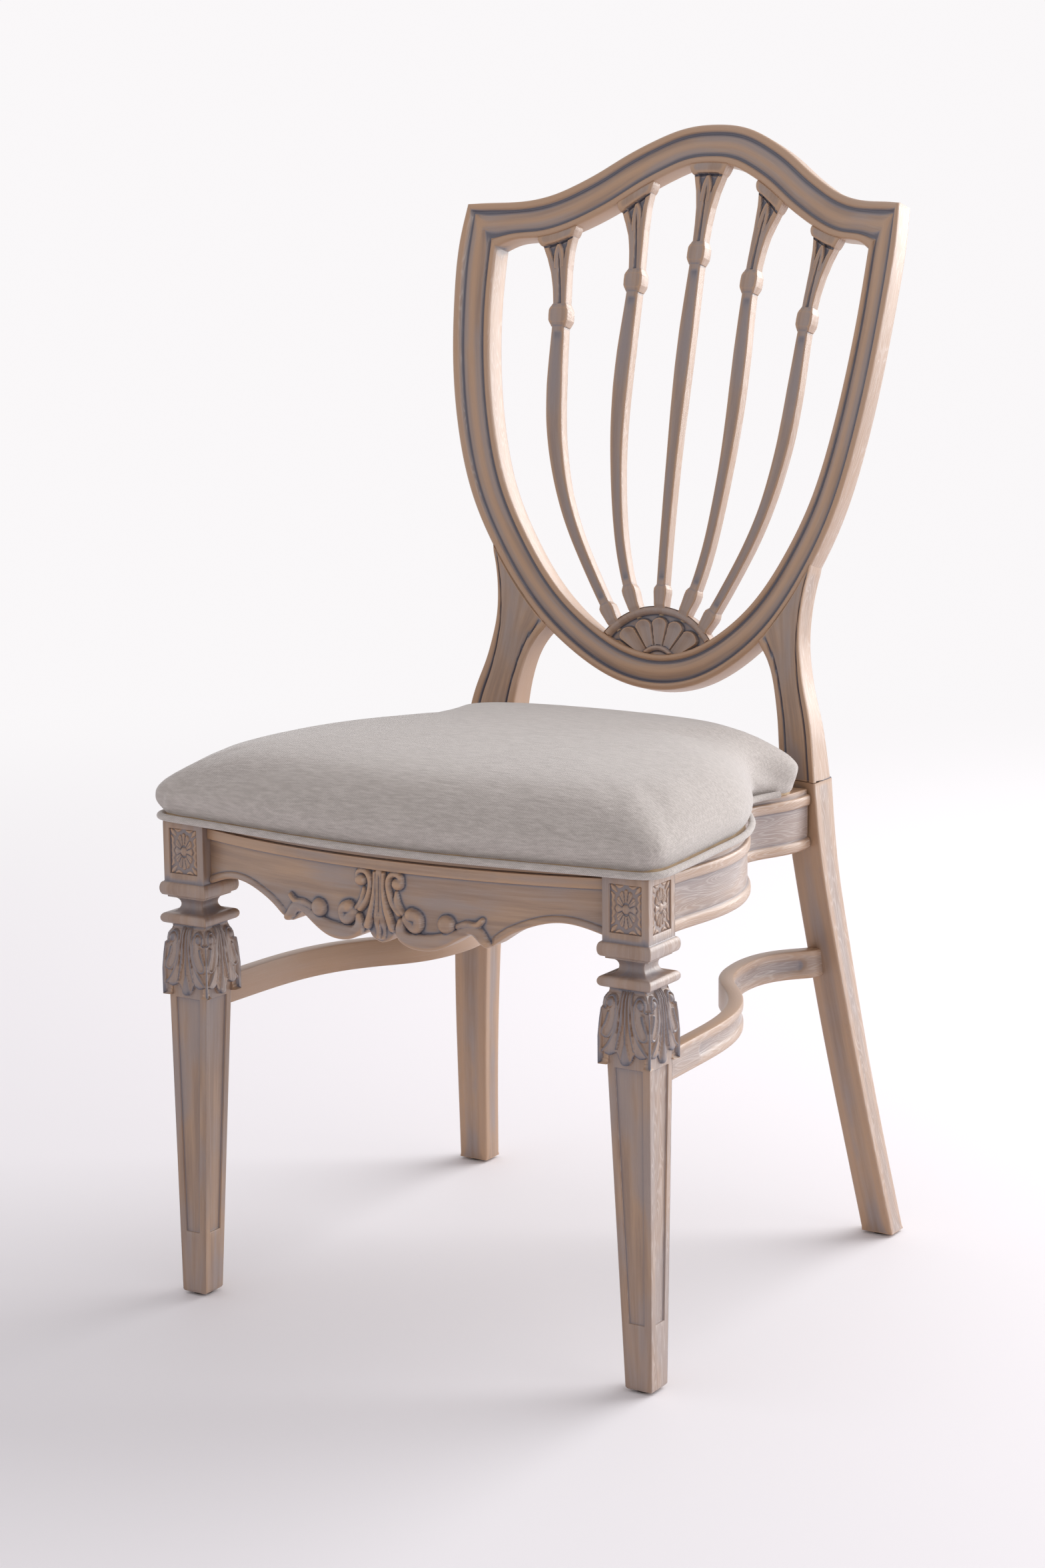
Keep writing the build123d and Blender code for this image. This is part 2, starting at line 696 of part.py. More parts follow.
with BuildPart() as fan_rim_cut:
    with BuildSketch(back_plane):
        with Locations((0, fan_centre_v)):
            Circle(2 * fan_radius)
        with Locations((0, fan_hub_v)):
            Circle(fan_hub_radius, mode=Mode.SUBTRACT)
    extrude(amount=2 * deep, both=True)
    add(rim_slab.part, mode=Mode.INTERSECT)

with BuildPart() as fan_dish_cut:
    with BuildSketch(back_plane):
        with Locations((0, fan_centre_v)):
            Circle(fan_radius - fan_rim)
        with Locations((0, fan_hub_v)):
            Circle(fan_hub_radius, mode=Mode.SUBTRACT)
    extrude(amount=2 * deep, both=True)
    add(dish_slab.part, mode=Mode.INTERSECT)

with BuildPart() as fan_rosette:
    with BuildSketch(back_plane):
        with Locations((0, fan_centre_v)):
            Circle(fan_radius)
    extrude(amount=2 * deep, both=True)
    add(opening_block.part, mode=Mode.INTERSECT)
    add(fan_slab.part, mode=Mode.INTERSECT)
    with Locations(*fan_seat_pegs, *fan_pegs):
        Cylinder(peg_bore, peg_run, mode=Mode.SUBTRACT)
    add(fan_rim_cut.part, mode=Mode.SUBTRACT)
    add(fan_dish_cut.part, mode=Mode.SUBTRACT)
fan_rosette.part.label = "fan_rosette"
export_step(fan_rosette.part, "parts/fan_rosette.step")

groove_outer_side = [shifted(upright_outer, upright_groove_inset - groove_width / 2),
                     shifted(upright_outer, upright_groove_inset + groove_width / 2)]
groove_inner_side = [shifted(upright_inner, groove_width / 2 - upright_groove_inset),
                     shifted(upright_inner, -groove_width / 2 - upright_groove_inset)]
with BuildPart() as upright_grooves:
    for near, far in (groove_outer_side, groove_inner_side):
        with BuildSketch(back_plane):
            with BuildLine():
                Spline(*near)
                Line(near[-1], far[-1])
                Spline(*far)
                Line(far[0], near[0])
            make_face()
        extrude(amount=2 * deep, both=True)
    add(groove_slab.part, mode=Mode.INTERSECT)

with BuildPart() as back_upright_right:
    with BuildSketch(back_plane):
        with BuildLine():
            Spline(*upright_outer)
            Line(upright_outer[-1], upright_inner[-1])
            Spline(*upright_inner)
            Line(upright_inner[0], upright_outer[0])
        make_face()
    extrude(amount=2 * deep, both=True)
    add(upright_slab.part, mode=Mode.INTERSECT)
    add(shield_block.part, mode=Mode.SUBTRACT)
    add(upright_grooves.part, mode=Mode.SUBTRACT)
    split(bisect_by=Plane.XY.offset(joint_z), keep=Keep.TOP)
    with Locations(*shield_pins, *upright_pins):
        Cylinder(dowel_bore, dowel_run, mode=Mode.SUBTRACT)
back_upright_right.part.label = "back_upright_right"
export_step(back_upright_right.part, "parts/back_upright_right.step")

with BuildPart() as back_upright_left:
    mirror(back_upright_right.part, about=Plane.YZ)
back_upright_left.part.label = "back_upright_left"
export_step(back_upright_left.part, "parts/back_upright_left.step")

rail_height = rail_top_z - rail_foot_z
stretcher_fore = front_y + stretcher_front - housing_gap
stretcher_hind = front_y + stretcher_rear + housing_gap
stretcher_low = stretcher_foot_z - housing_gap
stretcher_rise = stretcher_head_z - stretcher_foot_z + 2 * housing_gap
with BuildPart() as rear_leg_right:
    for z, outer, width, front, depth, turn in leg_sections:
        with BuildSketch(Plane.XY.offset(z)):
            with BuildLine():
                Polyline((outer, front_y + front), (outer - width, front_y + front + width * turn),
                         (outer - width, front_y + front + width * turn + depth),
                         (outer, front_y + front + depth), close=True)
            make_face()
    loft()
    with Locations((rail_rear_x, front_y + rail_rear + housing_gap, rail_foot_z - housing_gap)):
        Box(rail_thick + 2 * housing_gap, deep, rail_height + 2 * housing_gap,
            align=(Align.CENTER, Align.MAX, Align.MIN), mode=Mode.SUBTRACT)
    with Locations((rear_rail_half + housing_gap, rear_rail_mid, rear_rail_foot_z - housing_gap)):
        Box(deep, rear_rail_thick + 2 * housing_gap, rail_top_z - rear_rail_foot_z + 2 * housing_gap,
            align=(Align.MAX, Align.CENTER, Align.MIN), mode=Mode.SUBTRACT)
    with Locations((stretcher_rear_x, stretcher_hind, stretcher_low)):
        Box(stretcher_thick + 2 * housing_gap, deep, stretcher_rise,
            align=(Align.CENTER, Align.MAX, Align.MIN), mode=Mode.SUBTRACT)
    with Locations(*rail_rear_pins, *rear_rail_pins, *stretcher_pins, *upright_pins):
        Cylinder(dowel_bore, dowel_run, mode=Mode.SUBTRACT)
    with Locations((*rear_foot, glide_height)):
        Cylinder(glide_stem_radius + dowel_fit, glide_stem + 2 * dowel_fit,
                 align=(Align.CENTER, Align.CENTER, Align.MIN), mode=Mode.SUBTRACT)
rear_leg_right.part.label = "rear_leg_right"
export_step(rear_leg_right.part, "parts/rear_leg_right.step")

with BuildPart() as rear_leg_left:
    mirror(rear_leg_right.part, about=Plane.YZ)
rear_leg_left.part.label = "rear_leg_left"
export_step(rear_leg_left.part, "parts/rear_leg_left.step")

with BuildPart() as rear_seat_rail:
    with Locations((0, rear_rail_mid, rear_rail_foot_z)):
        Box(2 * rear_rail_half, rear_rail_thick, rail_top_z - rear_rail_foot_z,
            align=(Align.CENTER, Align.CENTER, Align.MIN))
    with Locations(*both(rear_rail_pins)):
        Cylinder(dowel_bore, dowel_run, mode=Mode.SUBTRACT)
    with Locations(*both([Plane((rear_block_screw_x, rear_block_seat + 17, bolt_z), z_dir=along_y)])):
        Cylinder(screw_radius + dowel_fit, 34 + 2 * dowel_fit, mode=Mode.SUBTRACT)
rear_seat_rail.part.label = "rear_seat_rail"
export_step(rear_seat_rail.part, "parts/rear_seat_rail.step")

with BuildPart() as side_rail_right:
    for foot, head, step in ((rail_foot_z, rail_top_z, strip_step), (rail_foot_z, band_head_z, band_step),
                             (band_foot_z, band_head_z, 0), (rail_foot_z, bead_head_z, 0)):
        with BuildSketch(Plane.XY.offset(foot)):
            with BuildLine():
                draw_rail(rail_curve, step, rail_thick)
            make_face()
        extrude(amount=head - foot)
    with Locations(*rail_front_pins, *rail_rear_pins):
        Cylinder(dowel_bore, dowel_run, mode=Mode.SUBTRACT)
side_rail_right.part.label = "side_rail_right"
export_step(side_rail_right.part, "parts/side_rail_right.step")

with BuildPart() as side_rail_left:
    mirror(side_rail_right.part, about=Plane.YZ)
side_rail_left.part.label = "side_rail_left"
export_step(side_rail_left.part, "parts/side_rail_left.step")

with BuildPart() as apron_block:
    with BuildSketch(Plane.XY.offset(rail_foot_z - deep)):
        with BuildLine():
            draw_apron(apron_field_step, apron_rear_step, apron_half)
        make_face()
    extrude(amount=rail_height + deep)

arch_line = shifted(apron_arch, -apron_bead_width)
with BuildPart() as apron_bead:
    with BuildSketch(front_plane):
        with BuildLine():
            Spline(*apron_arch)
            Line(apron_arch[-1], arch_line[-1])
            Spline(*arch_line)
            Line(arch_line[0], apron_arch[0])
        make_face()
    extrude(amount=deep, both=True)
    mirror(about=Plane.YZ)
with BuildPart() as apron_bead_plan:
    with BuildSketch(Plane.XY.offset(rail_foot_z - deep)):
        with BuildLine():
            draw_apron(apron_field_step - apron_bead_step, apron_rear_step, post_inner_x - glue_gap)
        make_face()
    extrude(amount=rail_height + deep)
    add(apron_bead.part, mode=Mode.INTERSECT)

with BuildPart() as front_apron:
    with BuildSketch(front_plane):
        with BuildLine():
            Spline(*apron_leaf)
            Spline(*apron_drop)
            Spline(*mirrored(apron_drop))
            Spline(*apron_arch)
            Spline(*mirrored(apron_arch))
            Polyline((apron_half, rail_foot_z), (apron_half, rail_top_z), (-apron_half, rail_top_z),
                     (-apron_half, rail_foot_z))
        make_face()
    extrude(amount=deep, both=True)
    add(apron_block.part, mode=Mode.INTERSECT)
    add(apron_bead_plan.part)
    with BuildSketch(Plane.XY.offset(band_foot_z)):
        with BuildLine():
            draw_apron(apron_band_step, apron_rear_step, post_inner_x - glue_gap)
        make_face()
    extrude(amount=band_head_z - band_foot_z)
    with Locations(*both(apron_pins)):
        Cylinder(dowel_bore, dowel_run, mode=Mode.SUBTRACT)
front_apron.part.label = "front_apron"
export_step(front_apron.part, "parts/front_apron.step")

shaft_rise = leaf_foot_z - glide_height


def shaft_at(head, foot, z):
    return foot + (head - foot) * (z - glide_height) / shaft_rise


shaft_front = (shaft_inset_front, foot_front)
shaft_rear = (post_size - shaft_inset_rear, foot_rear)
shaft_inner = (post_inner_x + shaft_inset_inner, foot_inner_x)
shaft_outer = (post_outer_x - shaft_inset_outer, foot_outer_x)


def panel(near, far):
    """Sunk panel of a shaft face, between its two edges."""
    low, high = panel_foot_z, panel_head_z
    return [(shaft_at(*near, low) + panel_border, low), (shaft_at(*far, low) - panel_border, low),
            (shaft_at(*far, high) - panel_border, high), (shaft_at(*near, high) + panel_border, high)]


front_tilt = (shaft_front[0] - shaft_front[1]) / shaft_rise
inner_tilt = (shaft_inner[0] - shaft_inner[1]) / shaft_rise
outer_tilt = (shaft_outer[0] - shaft_outer[1]) / shaft_rise
front_face = Plane((0, front_y + shaft_at(*shaft_front, 0), 0), x_dir=(1, 0, 0), z_dir=(0, -1, front_tilt))
outer_face = Plane((shaft_at(*shaft_outer, 0), front_y, 0), x_dir=(0, 1, 0), z_dir=(1, 0, -outer_tilt))
inner_face = Plane((shaft_at(*shaft_inner, 0), front_y, 0), x_dir=(0, -1, 0), z_dir=(-1, 0, inner_tilt))
apron_house = (apron_y(post_inner_x, apron_field_step), apron_y(apron_half, apron_rear_step))
post_face = Plane((post_outer_x, front_y, 0), x_dir=(0, 1, 0), z_dir=(1, 0, 0))

with BuildPart() as front_leg_right:
    with BuildSketch(front_plane):
        with BuildLine():
            draw_leg_edge(post_inner_x, -1, shaft_inset_inner, foot_inner_x)
            draw_leg_edge(post_outer_x, 1, shaft_inset_outer, foot_outer_x)
            Line((post_inner_x, post_top_z), (post_outer_x, post_top_z))
            Line((foot_inner_x, glide_height), (foot_outer_x, glide_height))
        make_face()
    extrude(amount=deep, both=True)
    with BuildSketch(side_plane):
        with BuildLine():
            draw_leg_edge(0, -1, shaft_inset_front, foot_front)
            draw_leg_edge(post_size, 1, shaft_inset_rear, foot_rear)
            Line((0, post_top_z), (post_size, post_top_z))
            Line((foot_front, glide_height), (foot_rear, glide_height))
        make_face()
    extrude(amount=3 * deep, both=True, mode=Mode.INTERSECT)
    with BuildSketch(front_face):
        Polygon(*panel(shaft_inner, shaft_outer), align=None)
    extrude(amount=-panel_depth, mode=Mode.SUBTRACT)
    with BuildSketch(outer_face):
        Polygon(*panel(shaft_front, shaft_rear), align=None)
    extrude(amount=-panel_depth, mode=Mode.SUBTRACT)
    with BuildSketch(inner_face):
        Polygon(*mirrored(panel(shaft_front, shaft_rear)), align=None)
    extrude(amount=-panel_depth, mode=Mode.SUBTRACT)
    with BuildSketch(front_plane):
        Polygon((post_inner_x + square_border, square_foot_z), (post_outer_x - square_border, square_foot_z),
                (post_outer_x - square_border, square_head_z), (post_inner_x + square_border, square_head_z),
                align=None)
    extrude(amount=-square_depth, mode=Mode.SUBTRACT)
    with BuildSketch(post_face):
        Polygon((square_border, square_foot_z), (post_size - square_border, square_foot_z),
                (post_size - square_border, square_head_z), (square_border, square_head_z), align=None)
    extrude(amount=-square_depth, mode=Mode.SUBTRACT)
    with Locations((rail_front_x, post_rear - rail_housing - housing_gap, rail_foot_z - housing_gap)):
        Box(rail_thick + 2 * housing_gap, deep, rail_height + 2 * housing_gap,
            align=(Align.CENTER, Align.MIN, Align.MIN), mode=Mode.SUBTRACT)
    with Locations((apron_half + housing_gap, apron_house[0] - housing_gap, rail_foot_z - housing_gap)):
        Box(deep, apron_house[1] - apron_house[0] + 2 * housing_gap, rail_height + 2 * housing_gap,
            align=(Align.MAX, Align.MIN, Align.MIN), mode=Mode.SUBTRACT)
    with Locations((stretcher_front_x, stretcher_fore, stretcher_low)):
        Box(stretcher_thick + 2 * housing_gap, deep, stretcher_rise,
            align=(Align.CENTER, Align.MIN, Align.MIN), mode=Mode.SUBTRACT)
    with Locations(*rail_front_pins, *apron_pins, stretcher_pins[0]):
        Cylinder(dowel_bore, dowel_run, mode=Mode.SUBTRACT)
    with Locations(Plane(bolt_corner + bolt_turn * (bolt_bite / 2), z_dir=bolt_turn)):
        Cylinder(bolt_radius + dowel_fit, bolt_bite + 2 * dowel_fit, mode=Mode.SUBTRACT)
    with Locations((*front_foot, glide_height)):
        Cylinder(glide_stem_radius + dowel_fit, glide_stem + 2 * dowel_fit,
                 align=(Align.CENTER, Align.CENTER, Align.MIN), mode=Mode.SUBTRACT)
front_leg_right.part.label = "front_leg_right"
export_step(front_leg_right.part, "parts/front_leg_right.step")

with BuildPart() as front_leg_left:
    mirror(front_leg_right.part, about=Plane.YZ)
front_leg_left.part.label = "front_leg_left"
export_step(front_leg_left.part, "parts/front_leg_left.step")

flute_face = shifted(stretcher_curve, deep / 30)[2:-2]
flute_floor = shifted(stretcher_curve, -flute_depth)[2:-2]
with BuildPart() as stretcher_right:
    with BuildSketch(Plane.XY.offset(stretcher_foot_z)):
        with BuildLine():
            draw_rail(stretcher_curve, 0, stretcher_thick)
        make_face()
    extrude(amount=stretcher_head_z - stretcher_foot_z)
    with BuildSketch(Plane.XY.offset(flute_foot_z)):
        with BuildLine():
            Spline(*flute_face)
            Line(flute_face[-1], flute_floor[-1])
            Spline(*flute_floor)
            Line(flute_floor[0], flute_face[0])
        make_face()
    extrude(amount=flute_head_z - flute_foot_z, mode=Mode.SUBTRACT)
    with Locations(*stretcher_pins):
        Cylinder(dowel_bore, dowel_run, mode=Mode.SUBTRACT)
stretcher_right.part.label = "stretcher_right"
export_step(stretcher_right.part, "parts/stretcher_right.step")

with BuildPart() as stretcher_left:
    mirror(stretcher_right.part, about=Plane.YZ)
stretcher_left.part.label = "stretcher_left"
export_step(stretcher_left.part, "parts/stretcher_left.step")

with BuildPart() as rail_space:
    with BuildSketch(Plane.XY.offset(rail_foot_z)):
        with BuildLine():
            draw_rail(rail_curve, -rail_thick, rail_thick + glue_gap)
        make_face()
    extrude(amount=rail_height)

with BuildPart() as apron_space:
    with BuildSketch(Plane.XY.offset(rail_foot_z)):
        with BuildLine():
            draw_apron(-apron_thick, apron_rear_step + glue_gap, apron_half)
        make_face()
    extrude(amount=rail_height)

with BuildPart() as corner_block_front_right:
    with BuildSketch(Plane.XY.offset(block_foot_z)):
        with BuildLine():
            Polyline((bolt_seat.X - block_diag, bolt_seat.Y - block_diag),
                     (post_inner_x, bolt_seat.Y - block_diag), (post_inner_x, post_rear),
                     (bolt_seat.X + block_span, post_rear),
                     (bolt_seat.X + block_span, bolt_seat.Y + block_span), close=True)
        make_face()
    extrude(amount=block_head_z - block_foot_z)
    add(rail_space.part, mode=Mode.SUBTRACT)
    add(apron_space.part, mode=Mode.SUBTRACT)
    with Locations(Plane(bolt_seat, z_dir=bolt_turn)):
        Cylinder(bolt_radius + dowel_fit, 2 * deep, mode=Mode.SUBTRACT)
    with Locations((*front_screw, block_foot_z)):
        Cylinder(screw_radius + dowel_fit, 2 * deep, mode=Mode.SUBTRACT)
corner_block_front_right.part.label = "corner_block_front_right"
export_step(corner_block_front_right.part, "parts/corner_block_front_right.step")

with BuildPart() as corner_block_front_left:
    mirror(corner_block_front_right.part, about=Plane.YZ)
corner_block_front_left.part.label = "corner_block_front_left"
export_step(corner_block_front_left.part, "parts/corner_block_front_left.step")

with BuildPart() as corner_block_rear_right:
    with BuildSketch(Plane.XY.offset(block_foot_z)):
        with BuildLine():
            Polyline((138, block_rear), (92, block_rear), (128, block_rear - 52), (165, block_rear - 52),
                     (165, block_rear - 26), (144, block_rear - 12), close=True)
        make_face()
    extrude(amount=block_head_z - block_foot_z)
    add(rail_space.part, mode=Mode.SUBTRACT)
    with Locations((*rear_screw, block_foot_z)):
        Cylinder(screw_radius + dowel_fit, 2 * deep, mode=Mode.SUBTRACT)
    with Locations(Plane((rear_block_screw_x, rear_block_seat, bolt_z), z_dir=along_y)):
        Cylinder(screw_radius + dowel_fit, 2 * deep, mode=Mode.SUBTRACT)
    with Locations(Plane((rear_block_screw_x, rear_block_seat - deep / 2, bolt_z), z_dir=along_y)):
        Cylinder(screw_head_radius + dowel_fit, deep, mode=Mode.SUBTRACT)
corner_block_rear_right.part.label = "corner_block_rear_right"
export_step(corner_block_rear_right.part, "parts/corner_block_rear_right.step")

with BuildPart() as corner_block_rear_left:
    mirror(corner_block_rear_right.part, about=Plane.YZ)
corner_block_rear_left.part.label = "corner_block_rear_left"
export_step(corner_block_rear_left.part, "parts/corner_block_rear_left.step")

board_inset = cover_thick + skin_gap
pad_foot_share = pad_shape[0][1]
seat_screws_at = [front_screw, rear_screw]
seat_screws_at = seat_screws_at + mirrored(seat_screws_at)
with BuildPart() as seat_board:
    with BuildSketch(Plane.XY.offset(board_foot_z)):
        with BuildLine():
            seat_wire(pad_foot_share, board_inset + skin_gap)
        make_face()
    extrude(amount=board_thick)
    with Locations(*[(x, y, board_foot_z) for x, y in seat_screws_at]):
        Cylinder(screw_radius + dowel_fit, 2 * (screw_bite + dowel_fit), mode=Mode.SUBTRACT)
seat_board.part.label = "seat_board"
export_step(seat_board.part, "parts/seat_board.step")

with BuildPart() as dust_cover:
    with BuildSketch(Plane.XY.offset(board_foot_z - dust_thick - dowel_fit)):
        with BuildLine():
            seat_wire(dust_share, 0)
        make_face()
        with Locations(*seat_screws_at):
            Circle(screw_radius + skin_gap, mode=Mode.SUBTRACT)
    extrude(amount=dust_thick)
dust_cover.part.label = "dust_cover"
export_step(dust_cover.part, "parts/dust_cover.step")

board_head_z = board_foot_z + board_thick
foam_foot_z = board_head_z + dowel_fit
foam_foot_share = 0.992
with BuildPart() as seat_foam:
    with BuildSketch(Plane.XY.offset(foam_foot_z)):
        with BuildLine():
            seat_wire(foam_foot_share, board_inset)
        make_face()
    for rise, share in pad_shape[3:]:
        with BuildSketch(Plane.XY.offset(board_foot_z + pad_height * rise - board_inset)):
            with BuildLine():
                seat_wire(share, board_inset)
            make_face()
    loft(ruled=True)
seat_foam.part.label = "seat_foam"
export_step(seat_foam.part, "parts/seat_foam.step")

with BuildPart() as cover_hollow:
    with BuildSketch(Plane.XY.offset(board_foot_z - cover_thick)):
        with BuildLine():
            seat_wire(pad_foot_share, cover_thick)
        make_face()
    for rise, share in pad_shape[1:]:
        with BuildSketch(Plane.XY.offset(board_foot_z + pad_height * rise - cover_thick)):
            with BuildLine():
                seat_wire(share, cover_thick)
            make_face()
    loft(ruled=True)

with BuildPart() as seat_cover:
    for rise, share in pad_shape:
        with BuildSketch(Plane.XY.offset(board_foot_z + pad_height * rise)):
            with BuildLine():
                seat_wire(share, 0)
            make_face()
    loft(ruled=True)
    add(cover_hollow.part, mode=Mode.SUBTRACT)
seat_cover.part.label = "seat_cover"
export_step(seat_cover.part, "parts/seat_cover.step")

welt_z = rail_top_z + welt_radius + dowel_fit
welt_end = front_y + 330.0
half_count = len(seat_half)
welt_ring = seat_ring(pad_foot_share, -welt_radius - skin_gap)
welt_line = welt_ring[half_count + 1:] + welt_ring[:half_count]
welt_line = [(x, y, welt_z) for x, y in welt_line if y < welt_end]
with BuildPart() as seat_welt:
    with BuildLine() as welt_path:
        Spline(*welt_line)
    with BuildSketch(Plane(origin=welt_path.line @ 0, z_dir=welt_path.line % 0)):
        Circle(welt_radius)
    sweep()
seat_welt.part.label = "seat_welt"
export_step(seat_welt.part, "parts/seat_welt.step")

with BuildPart() as block_bolts:
    bolt_tail = washer_thick + nut_height + 3.0
    bolt_length = bolt_bite + bolt_reach + bolt_tail
    with Locations(*both([Plane(bolt_corner + bolt_turn * (bolt_bite - bolt_length / 2), z_dir=bolt_turn)])):
        Cylinder(bolt_radius, bolt_length)
block_bolts.part.label = "block_bolts"
export_step(block_bolts.part, "parts/block_bolts.step")

with BuildPart() as block_washers:
    with Locations(*both([Plane(bolt_seat - bolt_turn * (washer_thick / 2), z_dir=bolt_turn)])):
        Cylinder(washer_radius, washer_thick)
        Cylinder(bolt_radius + dowel_fit, washer_thick, mode=Mode.SUBTRACT)
block_washers.part.label = "block_washers"
export_step(block_washers.part, "parts/block_washers.step")

with BuildPart() as block_nuts:
    for spot in both([Plane(bolt_seat - bolt_turn * (washer_thick + nut_height), z_dir=bolt_turn)]):
        with BuildSketch(spot):
            RegularPolygon(nut_across / 2, 6, major_radius=False)
            Circle(bolt_radius + dowel_fit, mode=Mode.SUBTRACT)
        extrude(amount=nut_height)
block_nuts.part.label = "block_nuts"
export_step(block_nuts.part, "parts/block_nuts.step")

seat_screw_run = board_foot_z + screw_bite - block_foot_z
with BuildPart() as seat_screws:
    with Locations(*[(x, y, block_foot_z) for x, y in seat_screws_at]):
        Cylinder(screw_radius, seat_screw_run, align=(Align.CENTER, Align.CENTER, Align.MIN))
        Cylinder(screw_head_radius, screw_head, align=(Align.CENTER, Align.CENTER, Align.MAX))
seat_screws.part.label = "seat_screws"
export_step(seat_screws.part, "parts/seat_screws.step")

with BuildPart() as block_screws:
    with Locations(*both([Plane((rear_block_screw_x, rear_block_seat, bolt_z), z_dir=along_y)])):
        Cylinder(screw_radius, 34.0, align=(Align.CENTER, Align.CENTER, Align.MIN))
        Cylinder(screw_head_radius, screw_head, align=(Align.CENTER, Align.CENTER, Align.MAX))
block_screws.part.label = "block_screws"
export_step(block_screws.part, "parts/block_screws.step")

with BuildPart() as rail_dowels:
    with Locations(*both(rail_front_pins + rail_rear_pins + rear_rail_pins)):
        Cylinder(dowel_radius, 2 * dowel_half)
rail_dowels.part.label = "rail_dowels"
export_step(rail_dowels.part, "parts/rail_dowels.step")

with BuildPart() as apron_dowels:
    with Locations(*both(apron_pins)):
        Cylinder(dowel_radius, 2 * dowel_half)
apron_dowels.part.label = "apron_dowels"
export_step(apron_dowels.part, "parts/apron_dowels.step")

with BuildPart() as stretcher_dowels:
    with Locations(*both(stretcher_pins)):
        Cylinder(dowel_radius, 2 * dowel_half)
stretcher_dowels.part.label = "stretcher_dowels"
export_step(stretcher_dowels.part, "parts/stretcher_dowels.step")

with BuildPart() as upright_dowels:
    with Locations(*both(upright_pins)):
        Cylinder(dowel_radius, 2 * dowel_half)
upright_dowels.part.label = "upright_dowels"
export_step(upright_dowels.part, "parts/upright_dowels.step")

with BuildPart() as shield_dowels:
    with Locations(*both(shield_pins)):
        Cylinder(dowel_radius, 2 * dowel_half)
shield_dowels.part.label = "shield_dowels"
export_step(shield_dowels.part, "parts/shield_dowels.step")

with BuildPart() as splat_pins:
    with Locations(*splat_pegs):
        Cylinder(peg_radius, 2 * peg_half)
splat_pins.part.label = "splat_pins"
export_step(splat_pins.part, "parts/splat_pins.step")

with BuildPart() as fan_pins:
    with Locations(*fan_pegs):
        Cylinder(peg_radius, 2 * peg_half)
fan_pins.part.label = "fan_pins"
export_step(fan_pins.part, "parts/fan_pins.step")

with BuildPart() as foot_glides:
    for foot in (front_foot, rear_foot, mirrored([front_foot])[0], mirrored([rear_foot])[0]):
        with Locations(foot):
            Cylinder(glide_radius, glide_height, align=(Align.CENTER, Align.CENTER, Align.MIN))
            Cylinder(glide_stem_radius, glide_height + glide_stem,
                     align=(Align.CENTER, Align.CENTER, Align.MIN))
foot_glides.part.label = "foot_glides"
export_step(foot_glides.part, "parts/foot_glides.step")
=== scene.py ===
import json
import bpy
import numpy as np
from math import cos, pi, radians, sin, sqrt
from mathutils import Matrix, Vector


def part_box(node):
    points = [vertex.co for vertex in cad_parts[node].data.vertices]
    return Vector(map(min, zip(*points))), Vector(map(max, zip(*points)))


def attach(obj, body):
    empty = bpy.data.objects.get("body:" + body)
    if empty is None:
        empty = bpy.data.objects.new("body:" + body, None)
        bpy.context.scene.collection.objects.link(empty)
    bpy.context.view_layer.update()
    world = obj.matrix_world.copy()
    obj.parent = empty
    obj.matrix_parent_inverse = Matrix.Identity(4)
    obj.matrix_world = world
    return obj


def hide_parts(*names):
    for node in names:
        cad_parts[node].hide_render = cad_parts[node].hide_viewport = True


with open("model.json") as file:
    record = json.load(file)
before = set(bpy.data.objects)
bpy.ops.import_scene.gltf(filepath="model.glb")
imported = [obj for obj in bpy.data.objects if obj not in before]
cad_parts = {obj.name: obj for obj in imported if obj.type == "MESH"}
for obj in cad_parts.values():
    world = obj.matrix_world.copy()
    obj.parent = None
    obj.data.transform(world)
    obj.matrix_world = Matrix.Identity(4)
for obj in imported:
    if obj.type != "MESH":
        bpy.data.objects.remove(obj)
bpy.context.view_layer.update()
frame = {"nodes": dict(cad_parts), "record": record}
nodes = frame["nodes"]

# Places and sizes in millimetres; depths in plan count from the faces of the front posts, at FRONT
FRONT = -260.57
POST, POST_INNER, POST_OUTER = 41, 190, 231
POST_MID = (POST_INNER + POST_OUTER) / 2
ROSETTE_Z = 387.5
GLIDE_TOP = 2.5
RAIL_TOP = 413
LEG_TOP, LEG_JOINT, UPRIGHT_FOOT = 417.7, 418, 418.3
REAR_LIP = 34
LIP_THICK = 4
# Faces turned to the rear above SEAT_TOP belong to the back and are washed evenly.
# A piece whose middle lies past SIDE_PIECE gets liming and painted sheen on its outer faces alone.
SEAT_TOP = 480
SIDE_PIECE = 120
REAR_WASH = 0.2

# The back: its lean, the radius of its face in plan, its foot, and its bow up the lean
LEAN = radians(14.2)
CURVE = 500.0
BACK_Y, BACK_Z = 423.5, 560
BOW_V, BOW_RISE = 214, 12
SHIELD_HALF, CORNER_V, CREST_V, FOOT_V = 217.6, 345.5, 429.1, -79.5
FRAME_WIDTH, FRAME_DEPTH = 31.5, 22.5
CREST_SHARE = 1.14
VALLEYS, VALLEY_REACH, VALLEY_GREY = (8.4, 23.4), 4.5, 0.34
FAN_V, DAISY_V = -73.5, -60
SPLAT_SEAT = 66.5
KNOP_END, COLLAR_HALF, HEAD_HALF = 26.0, 10.5, 16.0

# The seat
SEAT_POINTS = 420
SEAT_MID_Y = 185
PAD_BED, PAD_FOOT, PAD_RISE, PAD_CROWN = 413.6, 413.2, 65.6, 65.8
REAR_FOOT_SHARE = 0.985
SEWN_BELOW = 0.421
WELT_RADIUS, WELT_Z, WELT_SHARE, WELT_END = 2.9, 416, 0.982, 330


# Curves and forms

